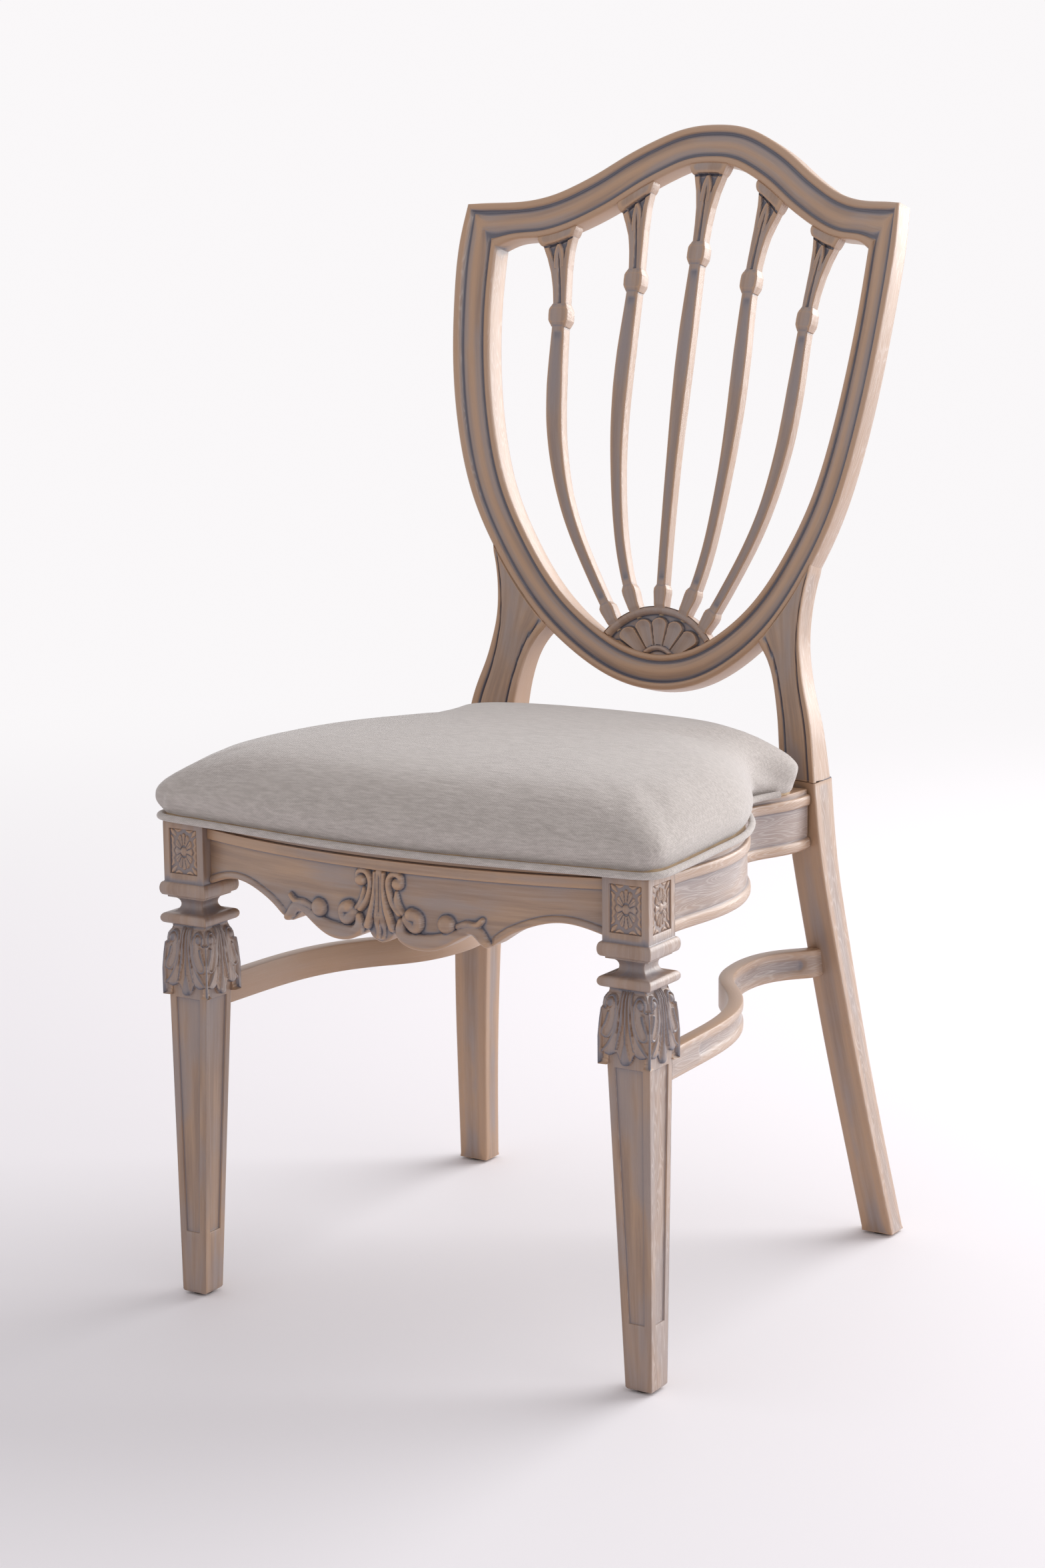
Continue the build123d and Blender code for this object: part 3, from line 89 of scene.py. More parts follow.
def flow(points, count):
    """Points spaced evenly along a smooth curve through the given ones."""
    p = np.array(points, float)
    t = np.r_[0, np.cumsum(np.linalg.norm(np.diff(p, axis=0), axis=1))]
    n, h = len(p), np.diff(t)
    a, b = np.eye(n), np.zeros((n, p.shape[1]))
    for i in range(1, n - 1):
        a[i, i - 1:i + 2] = h[i - 1], 2 * (h[i - 1] + h[i]), h[i]
        b[i] = 6 * ((p[i + 1] - p[i]) / h[i] - (p[i] - p[i - 1]) / h[i - 1])
    m = np.linalg.solve(a, b)
    s = np.linspace(0, t[-1], count) if np.isscalar(count) else np.asarray(count) * t[-1]
    k = np.clip(np.searchsorted(t, s, "right") - 1, 0, n - 2)
    u, w, g = (s - t[k])[:, None], (t[k + 1] - s)[:, None], h[k][:, None]
    return (m[k] * w ** 3 + m[k + 1] * u ** 3) / (6 * g) + (p[k] / g - m[k] * g / 6) * w \
        + (p[k + 1] / g - m[k + 1] * g / 6) * u


def flow_loop(points, count):
    """The same for a closed curve."""
    p = np.array(points, float)
    k = len(p)
    long = np.vstack([p, p, p, p[:1]])
    run = runs(long)
    return flow(long, np.linspace(run[k], run[2 * k], count, endpoint=False) / run[-1])


def heading(curve):
    """Unit steps along a plan curve."""
    d = np.gradient(curve, axis=0)
    d /= np.linalg.norm(d, axis=1)[:, None]
    return d


def beside(curve, amount):
    """A plan curve moved square to itself, to the right of the way along it."""
    d = heading(curve)
    return curve + np.c_[d[:, 1], -d[:, 0]] * amount


def runs(curve):
    """Length along a curve at each of its points."""
    return np.r_[0, np.cumsum(np.linalg.norm(np.diff(curve, axis=0), axis=1))]


def mirror(points):
    return [(-x, y) for x, y in points]


def ease(low, high, x):
    s = np.clip((x - low) / (high - low), 0, 1)
    return s * s * (3 - 2 * s)


def dome(x):
    return np.sqrt(np.clip(1 - x * x, 0, 1))


def knob(x, z, at, radius, height):
    """A raised half ball."""
    return height * dome(np.minimum(np.hypot(x - at[0], z - at[1]) / radius, 1))


def stroke(x, z, points, wide, high, power=0.5):
    """A rounded raised band along a smooth line; wide and high run along it."""
    line = flow(points, 60)
    t = np.linspace(0, 1, 60)
    wide = np.interp(t, np.linspace(0, 1, len(wide)), wide)
    high = np.interp(t, np.linspace(0, 1, len(high)), high)
    best = np.zeros_like(x)
    for (px, pz), w, h in zip(line, wide, high):
        d = np.hypot(x - px, z - pz) / w
        best = np.maximum(best, h * np.clip(1 - d * d, 0, 1) ** power)
    return best


def relief(x, z, knobs, strokes):
    """Height of a carving: at each point the highest of its knobs and strokes."""
    h = np.zeros_like(x)
    for ball in knobs:
        h = np.maximum(h, knob(x, z, *ball))
    for line in strokes:
        h = np.maximum(h, stroke(x, z, *line))
    return h


# Meshes

def alone(piece):
    bpy.ops.object.select_all(action="DESELECT")
    bpy.context.view_layer.objects.active = piece
    piece.select_set(True)


def read(items, key, width, kind=float):
    """A value of every vertex or edge, as rows of an array."""
    values = np.empty(width * len(items), kind)
    items.foreach_get(key, values)
    return values.reshape(-1, width)


def apply(piece, name, kind, **settings):
    """Adds a modifier with its settings and applies it."""
    added = piece.modifiers.new(name, kind)
    for key, value in settings.items():
        setattr(added, key, value)
    bpy.ops.object.modifier_apply(modifier=added.name)


def skin(name, rows, along=None, across=None, ends=False, smooth=38, sunk=None):
    """A grid primitive shaped to rows of points; edges that meet are joined, and open ends filled."""
    rows = np.asarray(rows, float)
    count, width = rows.shape[:2]
    bpy.ops.object.select_all(action="DESELECT")
    bpy.ops.mesh.primitive_grid_add(x_subdivisions=width - 1, y_subdivisions=count - 1, calc_uvs=False)
    piece = bpy.context.object
    piece.name = piece.data.name = name
    piece.data.vertices.foreach_set("co", (rows / 1000).ravel())
    for key, value in (("along", along), ("across", across), ("sunk", sunk)):
        if value is not None:
            layer = piece.data.attributes.new(key, "FLOAT", "POINT")
            layer.data.foreach_set("value", np.broadcast_to(value, (count, width)).astype(float).ravel())
    bpy.ops.object.mode_set(mode="EDIT")
    bpy.ops.mesh.select_all(action="SELECT")
    bpy.ops.mesh.remove_doubles(threshold=2e-6)
    if ends:
        bpy.ops.mesh.fill_holes(sides=0)
    bpy.ops.mesh.select_all(action="SELECT")
    bpy.ops.mesh.normals_make_consistent(inside=False)
    bpy.ops.object.mode_set(mode="OBJECT")
    bpy.ops.object.shade_smooth_by_angle(angle=radians(smooth))
    return piece


def ringed(name, rings, along, ends=True, smooth=38, sunk=None):
    """A form through closed rings of points, with the grain along it."""
    rings = np.asarray(rings, float)
    rings = np.concatenate([rings, rings[:, :1]], axis=1)
    if sunk is not None:
        sunk = np.concatenate([sunk, sunk[:, :1]], axis=1)
    return skin(name, rings, np.asarray(along)[:, None], runs(rings.mean(0))[None], ends, smooth, sunk)


def joined(name, pieces):
    alone(pieces[0])
    for piece in pieces[1:]:
        piece.select_set(True)
    bpy.ops.object.join()
    pieces[0].name = pieces[0].data.name = name
    return pieces[0]


def twin(piece, name):
    """A copy of a piece on the other side of the chair."""
    other = piece.copy()
    other.data = piece.data.copy()
    other.name = other.data.name = name
    bpy.context.collection.objects.link(other)
    alone(other)
    other.data.transform(Matrix.Scale(-1, 4, (1, 0, 0)))
    bpy.ops.object.mode_set(mode="EDIT")
    bpy.ops.mesh.select_all(action="SELECT")
    bpy.ops.mesh.flip_normals()
    bpy.ops.object.mode_set(mode="OBJECT")
    return other


def age(piece, reach, depth):
    """Stores how deep each point lies in a hollow, below nought on an edge, and how far it faces sideways,
    where sheen gets painted.
    """
    mesh = piece.data
    n = len(mesh.vertices)
    co, no = read(mesh.vertices, "co", 3) * 1000, read(mesh.vertices, "normal", 3)
    a, b = read(mesh.edges, "vertices", 2, int).T
    w = 1 / (np.linalg.norm(co[a] - co[b], axis=1) + 0.2)
    total = np.bincount(a, w, n) + np.bincount(b, w, n) + 1e-9
    p, hollow = co.copy(), 0
    for step in range(1, 4 * reach + 1):
        mid = [np.bincount(a, w * p[b, k], n) + np.bincount(b, w * p[a, k], n) for k in range(3)]
        p = 0.4 * p + 0.6 * np.stack(mid, 1) / total[:, None]
        if step in (reach, 4 * reach):
            hollow = hollow + ((p - co) * no).sum(1) / (depth * sqrt(step / reach)) * 0.6
    if "sunk" in mesh.attributes:
        hollow = hollow + read(mesh.attributes["sunk"].data, "value", 1)[:, 0]
    hollow = np.where((no[:, 1] > 0.6) & (co[:, 2] > SEAT_TOP), REAR_WASH, hollow)
    # How far each point faces sideways, outwards only on side pieces; the material paints sheen on these
    # faces.
    turned = np.maximum(no[:, 0], 0) if co[:, 0].mean() > SIDE_PIECE else abs(no[:, 0])
    for key, value in (("hollow", np.clip(hollow, -1.5, 1.5)), ("turned", turned)):
        layer = mesh.attributes.new(key, "FLOAT", "POINT")
        layer.data.foreach_set("value", value)
    return piece


# The back: a curved, leaning face, x across and v up the lean

def on_back(x, v, out=0.0):
    x, v, out = np.broadcast_arrays(np.asarray(x, float), np.asarray(v, float), np.asarray(out, float))
    bow = (BOW_V ** 2 + BOW_RISE ** 2) / (2 * BOW_RISE)
    w = BOW_RISE - bow + np.sqrt(bow ** 2 - (v - BOW_V) ** 2) + CURVE - np.sqrt((CURVE - out) ** 2 - x ** 2)
    y, z = BACK_Y + FRONT + v * sin(LEAN) - w * cos(LEAN), BACK_Z + v * cos(LEAN) + w * sin(LEAN)
    return np.stack([x, y, z], -1)


crest_half = [(SHIELD_HALF * a, CORNER_V + (CREST_V - CORNER_V) * b) for a, b in (
    (0.08, 0.988), (0.174, 0.93), (0.245, 0.85), (0.31, 0.76), (0.39, 0.63), (0.49, 0.44), (0.572, 0.3),
    (0.65, 0.185), (0.741, 0.095), (0.833, 0.047), (0.92, 0.018))]
side_half = [(SHIELD_HALF * a, FOOT_V + (CORNER_V - FOOT_V) * b) for a, b in (
    (1.0046, 0.921), (0.9954, 0.791), (0.968, 0.649), (0.9153, 0.5), (0.8375, 0.37), (0.7231, 0.2565),
    (0.5675, 0.1478), (0.3844, 0.0674), (0.1922, 0.0165))]
corner = [(SHIELD_HALF, CORNER_V)]
crest_line = np.array(mirror(corner + crest_half[::-1]) + [(0, CREST_V)] + crest_half + corner)
side_line = np.array(corner + side_half + [(0, FOOT_V)] + mirror(side_half[::-1]) + mirror(corner))
CREST_POINTS, SIDE_POINTS = 150, 230


def shield_ring(amount):
    """The shield's outline, moved inwards, with the same count of points at each step."""
    blunt = 1.3 * max(0, 1 - amount / 3)
    deeper = CREST_SHARE * amount
    tip = np.array([SHIELD_HALF - 0.97 * amount - blunt, CORNER_V - 1.08 * deeper - blunt])
    left = tip * (-1, 1)
    crest = [p for p in beside(crest_line, deeper) if abs(p[0]) < tip[0] - 10]
    sides = [p for p in beside(side_line, amount) if p[1] < tip[1] - 12]
    return np.vstack([flow([left, *crest, tip], CREST_POINTS)[:-1], flow([tip, *sides, left], SIDE_POINTS)])


def shield_frame(name):
    """Closed moulding; a step of its profile is a way in from the outline and a way out from the face."""
    profile = [(1.2, -22.3), (0.3, -21.5), (0, -20), (0, -12), (0, -2.6), (0.3, -1.3), (1.0, -0.4),
               (2.2, 0.3), (3.6, 0.6), (4.8, 0.3), (5.7, -0.5), (6.4, -1.6), (6.9, -2.6), (7.4, -3.0),
               (8.0, -2.85), (8.8, -2.35), (9.8, -1.8), (11.2, -1.25), (13, -0.75), (15, -0.4),
               (17.2, -0.3), (19.4, -0.6), (21.2, -1.1), (22.6, -1.7), (23.6, -2.35), (24.3, -2.85),
               (24.8, -3.0), (25.3, -2.7), (25.8, -1.8), (26.4, -0.8), (27.3, 0.1), (28.4, 0.45),
               (29.6, 0.2), (30.6, -0.5), (31.2, -1.5), (31.5, -2.8), (31.5, -12), (31.5, -20),
               (31.1, -21.6), (30.1, -22.3), (28.5, -22.5), (16, -22.5), (3, -22.5), (1.2, -22.3)]
    rows = [on_back(ring[:, 0], ring[:, 1], out) for ring, out in ((shield_ring(a), o) for a, o in profile)]
    along = runs(shield_ring(FRAME_WIDTH / 2))
    inward, out = np.array(profile).T
    grey = sum(np.exp(-((inward - valley) / VALLEY_REACH) ** 2) for valley in VALLEYS)
    grey = VALLEY_GREY * (grey + ease(8, 10, inward) * ease(24, 22, inward)) * (out > -4)
    moulded = skin(name, rows, along[None], (inward - out)[:, None], smooth=50, sunk=grey[:, None] + 0 * along)
    return age(moulded, 10, 0.45)


# Splats: foot knop, swelling shaft, six-sided collar and a flared head with a roll.
# Each has the points of its axis, from the fan up, and the middle of its collar.

splat_axes = {
    "outer": ([(42, -28.5), (60, 1), (75.5, 28), (90, 56), (101.5, 84), (110, 113), (116, 142), (119.5, 170),
               (122.3, 210), (124.5, 249.5), (126.5, 270), (130, 292), (137, 334),
               (144, 376)], (124.5, 249.5)),
    "inner": ([(24, -12), (31, 4), (38.5, 26), (45, 52), (50, 81), (54, 112), (57, 146), (58.5, 180),
               (58.6, 240), (58.7, 285), (60, 305), (63, 330), (70, 378), (76, 419)], (58.7, 285)),
    "centre": ([(0, -12), (0, 40), (0, 100), (0, 160), (0, 220), (0, 280), (0, 311), (0, 340), (0, 400),
                (0, 442)], (0, 311))}
shaft_share = [0, 0.2, 0.4, 0.55, 0.68, 0.8, 0.92, 1]
shaft_grow = [0, 0.1, 0.35, 0.72, 0.97, 0.95, 0.62, 0.42]
head_share = [0, 0.2, 0.4, 0.6, 0.8, 1, 1.2]
head_grow = [0, 0.04, 0.13, 0.32, 0.62, 1, 1.4]


def splat(kind, name):
    """The head's rows turn until the last one lies along the shield's inner edge."""
    axis, collar = splat_axes[kind]
    fine = flow(axis, 2400)
    run = runs(fine)
    across = np.gradient(fine, run, axis=0) @ np.array([[0, -1], [1, 0]])
    collar_at = run[np.argmin(np.hypot(*(fine - collar).T))]
    end = run[np.argmin(np.hypot(*(fine - axis[-2]).T))]
    low, high = collar_at - COLLAR_HALF, collar_at + COLLAR_HALF
    start = run[np.argmin(abs(np.hypot(fine[:, 0], fine[:, 1] - FAN_V) - SPLAT_SEAT))]
    ring = shield_ring(FRAME_WIDTH)[:CREST_POINTS - 1]

    def spot(at, s):
        return np.stack([np.interp(at, run, fine[:, k]) + s * np.interp(at, run, across[:, k])
                         for k in (0, 1)], -1)

    def reach(s):
        p = spot(run, s)
        return run[np.argmax(p[:, 1] > np.interp(p[:, 0], ring[:, 0], ring[:, 1]) + 1.2)]

    # u runs across the face, at along the axis, t up the head, and tops is where each strip meets the crest
    u = np.r_[-1, -0.975, -0.93, -0.86, np.linspace(-0.78, 0.78, 29), 0.86, 0.93, 0.975, 1]
    tops = np.array([reach(w * HEAD_HALF) for w in u])
    top = reach(0.0)
    at = np.r_[np.linspace(start, KNOP_END, 26), np.linspace(KNOP_END + 0.4, low - 0.05, 90),
               np.linspace(low, collar_at - 4.8, 8), np.linspace(collar_at - 4.4, collar_at + 4.4, 8),
               np.linspace(collar_at + 4.8, high, 8), high + 0.05 + np.linspace(0, 1, 120) * (top - high)]
    t = np.clip((at - high) / (top - high), 0, 1)[:, None]
    knop = np.clip((at - start) / (KNOP_END - start), 0, 1)
    nut = np.clip(1 - abs(at - collar_at) / COLLAR_HALF, 0, 1)
    on_nut = (at >= low) & (at <= high)
    half = 4.5 + 2.7 * np.interp((at - KNOP_END) / (low - KNOP_END), shaft_share, shaft_grow)
    half = np.where(at < KNOP_END, np.interp(knop, [0, 0.3, 0.68, 0.84, 1], [5.3, 5.7, 6.6, 6.4, 4.7]), half)
    half = np.where(on_nut, np.interp(nut, [0, 0.55, 1], [6.3, 8.6, 8.8]), half)
    flare = np.interp((at - high) / (end - high), head_share, head_grow)
    half = np.where(at > high, 5.8 + 14.2 * flare, half)
    shaft = (ease(KNOP_END, KNOP_END + 8, at) * ease(low, low - 8, at) * (at < low))[:, None]
    lift = 1.6 * ease(0, 0.45, nut) * on_nut + 1.1 * ease(0, 0.2, knop) * ease(1, 0.8, knop) * (at < KNOP_END)
    roll = dome((t - 0.925) / 0.075) * (t > 0.85)
    half = half[:, None] + 1.7 * roll
    s = u * half
    edge = half - abs(s)
    out = -2.5 - 0.9 * np.clip(1 - edge / 0.9, 0, 1) ** 2 + lift[:, None]
    out = out - shaft * 1.1 * dome(s / (half - 0.9)) ** 1.3 * (edge > 0.9)
    # sunk leaf of the head with its ridge and vein, and the groove under the roll
    strip = half - 4.2
    arch = np.maximum(strip, 0.01) * np.clip(1 - np.clip((t - 0.5) / 0.36, 0, 1) ** 1.5, 0, 1)
    sunk = ease(0, 1.0, abs(s) - arch) * ease(0, 1.0, strip - abs(s)) * (t > 0.5) * (t < 0.86)
    ridge = np.exp(-((abs(s) - arch + 0.9) / 0.8) ** 2) * (t > 0.5) * (t < 0.84)
    wide = 1.9 * np.clip(1 - t / 0.74, 0.01, 1) ** 0.6
    vein = np.clip(1 - (s / wide) ** 2, 0, 1) * (t > 0.004) * ease(0.74, 0.6, t)
    under = (t > 0.832) * (t < 0.852)
    out = out - 2.3 * sunk + 0.7 * ridge - 1.9 * vein - 1.6 * under * (edge > 0.5) + 3.2 * roll
    # The roll's share here is painted shade; the other shares are grey washing of the finish.
    wash_and_shade = 0.22 * shaft * dome(s / half) ** 2 + 0.5 * sunk + 0.4 * vein + 0.25 * roll
    turn = ease(0.3, 0.8, t)
    face = spot(at[:, None] + turn * (tops - top), s)
    rear_s = np.array([1, 1, 0.94, 0.8, 0, -0.8, -0.94, -1, -1]) * half
    sink = np.where(on_nut, 1.0 * ease(0, 0.45, nut), 0)[:, None]
    rear_o = np.array([-6, -12.7, -13.9, -14.5, -14.5, -14.5, -13.9, -12.7, -6]) - sink
    ends = np.r_[tops[-1], tops[-1], tops[-1], tops[-4], top, tops[3], tops[0], tops[0], tops[0]]
    hind = spot(at[:, None] + turn * (ends - top), rear_s)
    plan = np.concatenate([face, hind], axis=1)
    form = on_back(plan[..., 0], plan[..., 1], np.concatenate([out, rear_o], axis=1))
    wash_and_shade = np.concatenate([wash_and_shade, 0 * rear_s], axis=1)
    return age(ringed(name, form, at, smooth=24, sunk=wash_and_shade), 12, 0.3)


def fan(name):
    """Half a daisy of dished petals in a rim, round a ringed boss on the shield's inner edge."""
    petals, petal_end, boss_end, bed, rear = 7, 61.4, 20.8, -8.2, -16.5
    drop = DAISY_V - FAN_V
    r = np.r_[np.linspace(14, 60.6, 100), np.linspace(61.2, 68, 18), 68.3, 68.5, 68.5, 68.5]
    a = np.linspace(radians(16), radians(164), 260)
    rr, aa = np.meshgrid(r, a, indexing="ij")
    x, v = rr * np.cos(aa), FAN_V + rr * np.sin(aa)
    turn, far = np.arctan2(v - DAISY_V, x), np.hypot(x, v - DAISY_V)
    share = ((turn - radians(6)) / (radians(168) / petals)) % 1 * 2 - 1
    rim_far = -drop * np.sin(turn) + np.sqrt(petal_end ** 2 - (drop * np.cos(turn)) ** 2)
    tip = rim_far - 1.8 - 0.17 * rim_far * (1 - dome(share))
    on_petal = ease(0, 1.6, tip - far) * ease(0.02, 0.16, 1 - abs(share))
    dish = np.clip(1 - share ** 2, 0, 1) * ease(0, 8, tip - far)
    rim = bed + 6.4 * dome((rr - 65) / 3.6) ** 0.7 * (rr > petal_end)
    out = np.maximum(bed + on_petal * (4.2 - 1.5 * dish), rim)
    boss = -7 + 4.4 * dome(np.minimum(far / 15.5, 1)) * (far < 15.5)
    boss = boss + 4.6 * dome(np.minimum(abs(far - 18.2) / 2.6, 1))
    out = np.where(far < boss_end, np.maximum(boss, -7.4), out)
    ring = shield_ring(FRAME_WIDTH)
    ring = ring[ring[:, 1] < 60]
    ring = ring[np.argsort(ring[:, 0])]
    out = np.where(v - np.interp(x, ring[:, 0], ring[:, 1]) < 0.4, np.minimum(out, -4.5), out)
    out[-3:] = np.array([-3.5, -9, rear])[:, None]
    inner = on_back(x[:1], v[:1], np.full((1, len(a)), rear))
    along = np.concatenate([rr[:1], rr, rr[:1]])
    across = np.concatenate([aa[:1], aa, aa[:1]]) * 40
    rows = np.concatenate([inner, on_back(x, v, out), inner])
    return age(skin(name, rows, along, across, ends=True), 12, 0.5)


def upright(name):
    """Curved post from the shield's shoulder down to the leg, with a bead along each side."""
    drop = (LEG_JOINT - BACK_Z) / cos(LEAN)
    outer = flow([(163, 40), (158, 22)] + [(x, drop * s) for x, s in (
        (154.3, 0.0137), (154, 0.1845), (157, 0.3212), (162, 0.4646), (168.5, 0.6013), (173.5, 0.738),
        (177, 0.8883), (180, 1.0386), (183, 1.23))], 500)
    inner = flow([(x, drop * s) for x, s in (
        (96, 0.1367), (110.5, 0.2357), (119.5, 0.3212), (126, 0.4237), (130.5, 0.5398), (134, 0.6628),
        (136.5, 0.7995), (139, 0.9361), (142, 1.0728), (146, 1.23))], 500)
    ring = shield_ring(0.6)
    ring = ring[(ring[:, 0] > 60) & (ring[:, 1] < 120)]

    def meets(curve):
        """Where the curve's upper part comes nearest to the shield."""
        near = curve[np.argmin([np.linalg.norm(ring - p, axis=1).min() for p in curve[:200]])]
        return np.argmin(np.linalg.norm(ring - near, axis=1))

    c, s = np.linspace(0, 1, 41), np.linspace(0, 1, 90)
    head = flow(ring[meets(outer):meets(inner) + 1], c)

    def edge(curve, tip):
        k = np.argmin(np.linalg.norm(curve - tip, axis=1))
        e = np.argmin(abs(on_back(curve[:, 0], curve[:, 1])[:, 2] - UPRIGHT_FOOT))
        return flow(np.vstack([tip, curve[k + 6:e + 1]])[::8].tolist() + [curve[e]], s)

    left, right = edge(outer, head[0]), edge(inner, head[-1])
    foot = left[-1] + (right[-1] - left[-1]) * c[:, None]
    cc, ss = c[None, :, None], s[:, None, None]
    plan = (1 - ss) * head[None] + ss * foot[None] + (1 - cc) * left[:, None] + cc * right[:, None] \
        - (1 - ss) * ((1 - cc) * head[0] + cc * head[-1]) - ss * ((1 - cc) * foot[0] + cc * foot[-1])
    near = np.linalg.norm(left - right, axis=1)[:, None] * (0.5 - abs(c - 0.5))[None]
    out = -1.3 * np.clip(1 - near / 1.3, 0, 1) ** 2 + 0.4 * dome((near - 3.2) / 3.2) * (near < 6.4)
    out = out - 2.3 * np.exp(-((near - 7.4) / 1.0) ** 2) + 0.5 * ease(8, 15, near)
    x, v = plan[..., 0], plan[..., 1]
    more = np.interp(v / drop, [-0.5, 0, 0.273, 0.547, 0.82, 1.06, 1.4], [0, 0, 0.4, 2.6, 7, 12, 17.5])
    rear = -FRAME_DEPTH - more
    face = on_back(x, v, out)
    hind = on_back(x, v, rear + 1.4 * np.clip(1 - near / 1.4, 0, 1) ** 2)
    depths = np.array([0.12, 0.5, 0.9])
    mid_l, mid_r = (on_back(x[:, [k]], v[:, [k]], rear[:, [k]] * depths) for k in (0, -1))
    rings = np.concatenate([face, mid_r, hind[:, ::-1], mid_l[:, ::-1]], axis=1)
    rings[-1, :, 2] = UPRIGHT_FOOT
    return age(ringed(name, rings, runs(left)), 12, 0.35)


# Legs

def box_ring(x0, x1, y0, y1, soft, each=9):
    """A four-sided ring with rounded corners; the numbers may be arrays down a leg."""
    t = np.linspace(0, 1, each, endpoint=False)
    turn = np.linspace(0, pi / 2, 5)
    rings = []
    for a, b, c, d, r in zip(*np.broadcast_arrays(x0, x1, y0, y1, soft)):
        corners = ((b - r, c + r, -pi / 2), (b - r, d - r, 0), (a + r, d - r, pi / 2), (a + r, c + r, pi))
        arcs = [np.array([(x + r * cos(first + q), y + r * sin(first + q)) for q in turn])
                for x, y, first in corners]
        full = []
        for arc, after in zip(arcs, arcs[1:] + arcs[:1]):
            full += [arc, arc[-1] + (after[0] - arc[-1]) * t[1:, None]]
        rings.append(np.vstack(full))
    return np.array(rings)


def rear_leg(name):
    """Splayed leg, from the foot up: height, outer side, width, front, depth and skew of its front."""
    foot_up = [(GLIDE_TOP, 229.4, 30, 439.5, 23.5, 0), (100, 217.7, 30.5, 418, 24.5, 0.08),
               (190, 207.3, 32, 400, 26, 0.15), (280, 196.8, 33, 384.5, 29, 0.23),
               (350, 188.8, 35, 374.5, 32, 0.32)]
    x = np.array([180.0, 140.8])
    v = np.array([-146.0, -146.0])
    for _ in range(8):
        v = v - (on_back(x, v)[:, 2] - LEG_JOINT) / cos(LEAN)
    head = on_back(x, v)[:, 1] - FRONT
    data = np.vstack([foot_up, (LEG_TOP, 180, 39.2, head[0], 35, (head[1] - head[0]) / 39.2)])
    z = np.r_[np.linspace(GLIDE_TOP, 6, 4), np.linspace(10, LEG_TOP, 90)]
    p = flow(data * (1, 1, 1, 1, 1, 100), 600)
    outer, width, front, depth, turn = (np.interp(z, p[:, 0], p[:, k]) for k in range(1, 6))
    soft = np.minimum(2.2, 0.8 + (z - GLIDE_TOP) * 0.4)
    ring = box_ring(outer - width, outer, front + FRONT, front + depth + FRONT, soft)
    skew = (outer[:, None] - ring[..., 0]) * (turn / 100)[:, None]
    rings = np.dstack([ring[..., 0], ring[..., 1] + skew, np.broadcast_to(z[:, None], ring.shape[:2])])
    return age(ringed(name, rings, z), 12, 0.4)


def leg_edge():
    """Heights of the front leg's head, from the top down, and how far its sides stand out from the post."""
    line = [(RAIL_TOP, -0.8), (412, -0.1)]
    line += [(z, 0) for z in (410, 407, 406.6, 406.2, 405.8, 396, 387.5, 379, 369.2, 368.8, 368.4, 368,
                              361.6)]
    line += [(355.25 + 5.75 * cos(q), 3.2 * sin(q) ** 0.8) for q in np.linspace(0.12, pi - 0.12, 15)]
    line += [(349.5, -0.6), (349.3, -1.6), (347.7, -1.6)]
    line += [(341 + 6.5 * cos(q), -1.6 - 7.9 * sin(q) ** 0.85) for q in np.linspace(0.05, pi - 0.05, 19)]
    line += [(330 + 4.5 * cos(q), -1.6 + 4.8 * sin(q) ** 0.8) for q in np.linspace(0.05, pi - 0.05, 15)]
    return line + [(325.3, -3.0), (324.6, -4), (318, -4.4)]


def leg_part(name, z, x0, x1, y0, y1, sunk, plain):
    """A four-sided stack of rings, with a panel sunk so deep at each height on all but the plain sides."""
    u = np.r_[0.0, 0.25, 0.8, 1.6, 3.2, 5.6, 6.2, 6.5, 6.8, 7.4, 9]
    rings = []
    for h, a, b, c, d, deep in zip(z, x0, x1, y0, y1, sunk):
        ring = []
        sides = ((a, c, b, c, 0, 1), (b, c, b, d, -1, 0), (b, d, a, d, 0, -1), (a, d, a, c, 1, 0))
        for k, (ax, ay, bx, by, nx, ny) in enumerate(sides):
            long = abs(bx - ax) + abs(by - ay)
            reach = np.minimum(u, long * 0.42 * u / 9)
            s = np.r_[reach, np.linspace(reach[-1], long - reach[-1], 8)[1:-1], long - reach[::-1]][:-1]
            near = np.minimum(s, long - s)
            dip = 0.45 * np.clip(1 - near / 0.8, 0, 1) ** 2
            if k not in plain:
                dip = dip + deep * ease(6.3, 6.75, near)
            ring.append(np.c_[ax + (bx - ax) * s / long + nx * dip, ay + (by - ay) * s / long + ny * dip])
        ring = np.vstack(ring)
        rings.append(np.c_[ring[:, 0], ring[:, 1] + FRONT, np.full(len(ring), h)])
    return ringed(name, rings, z)


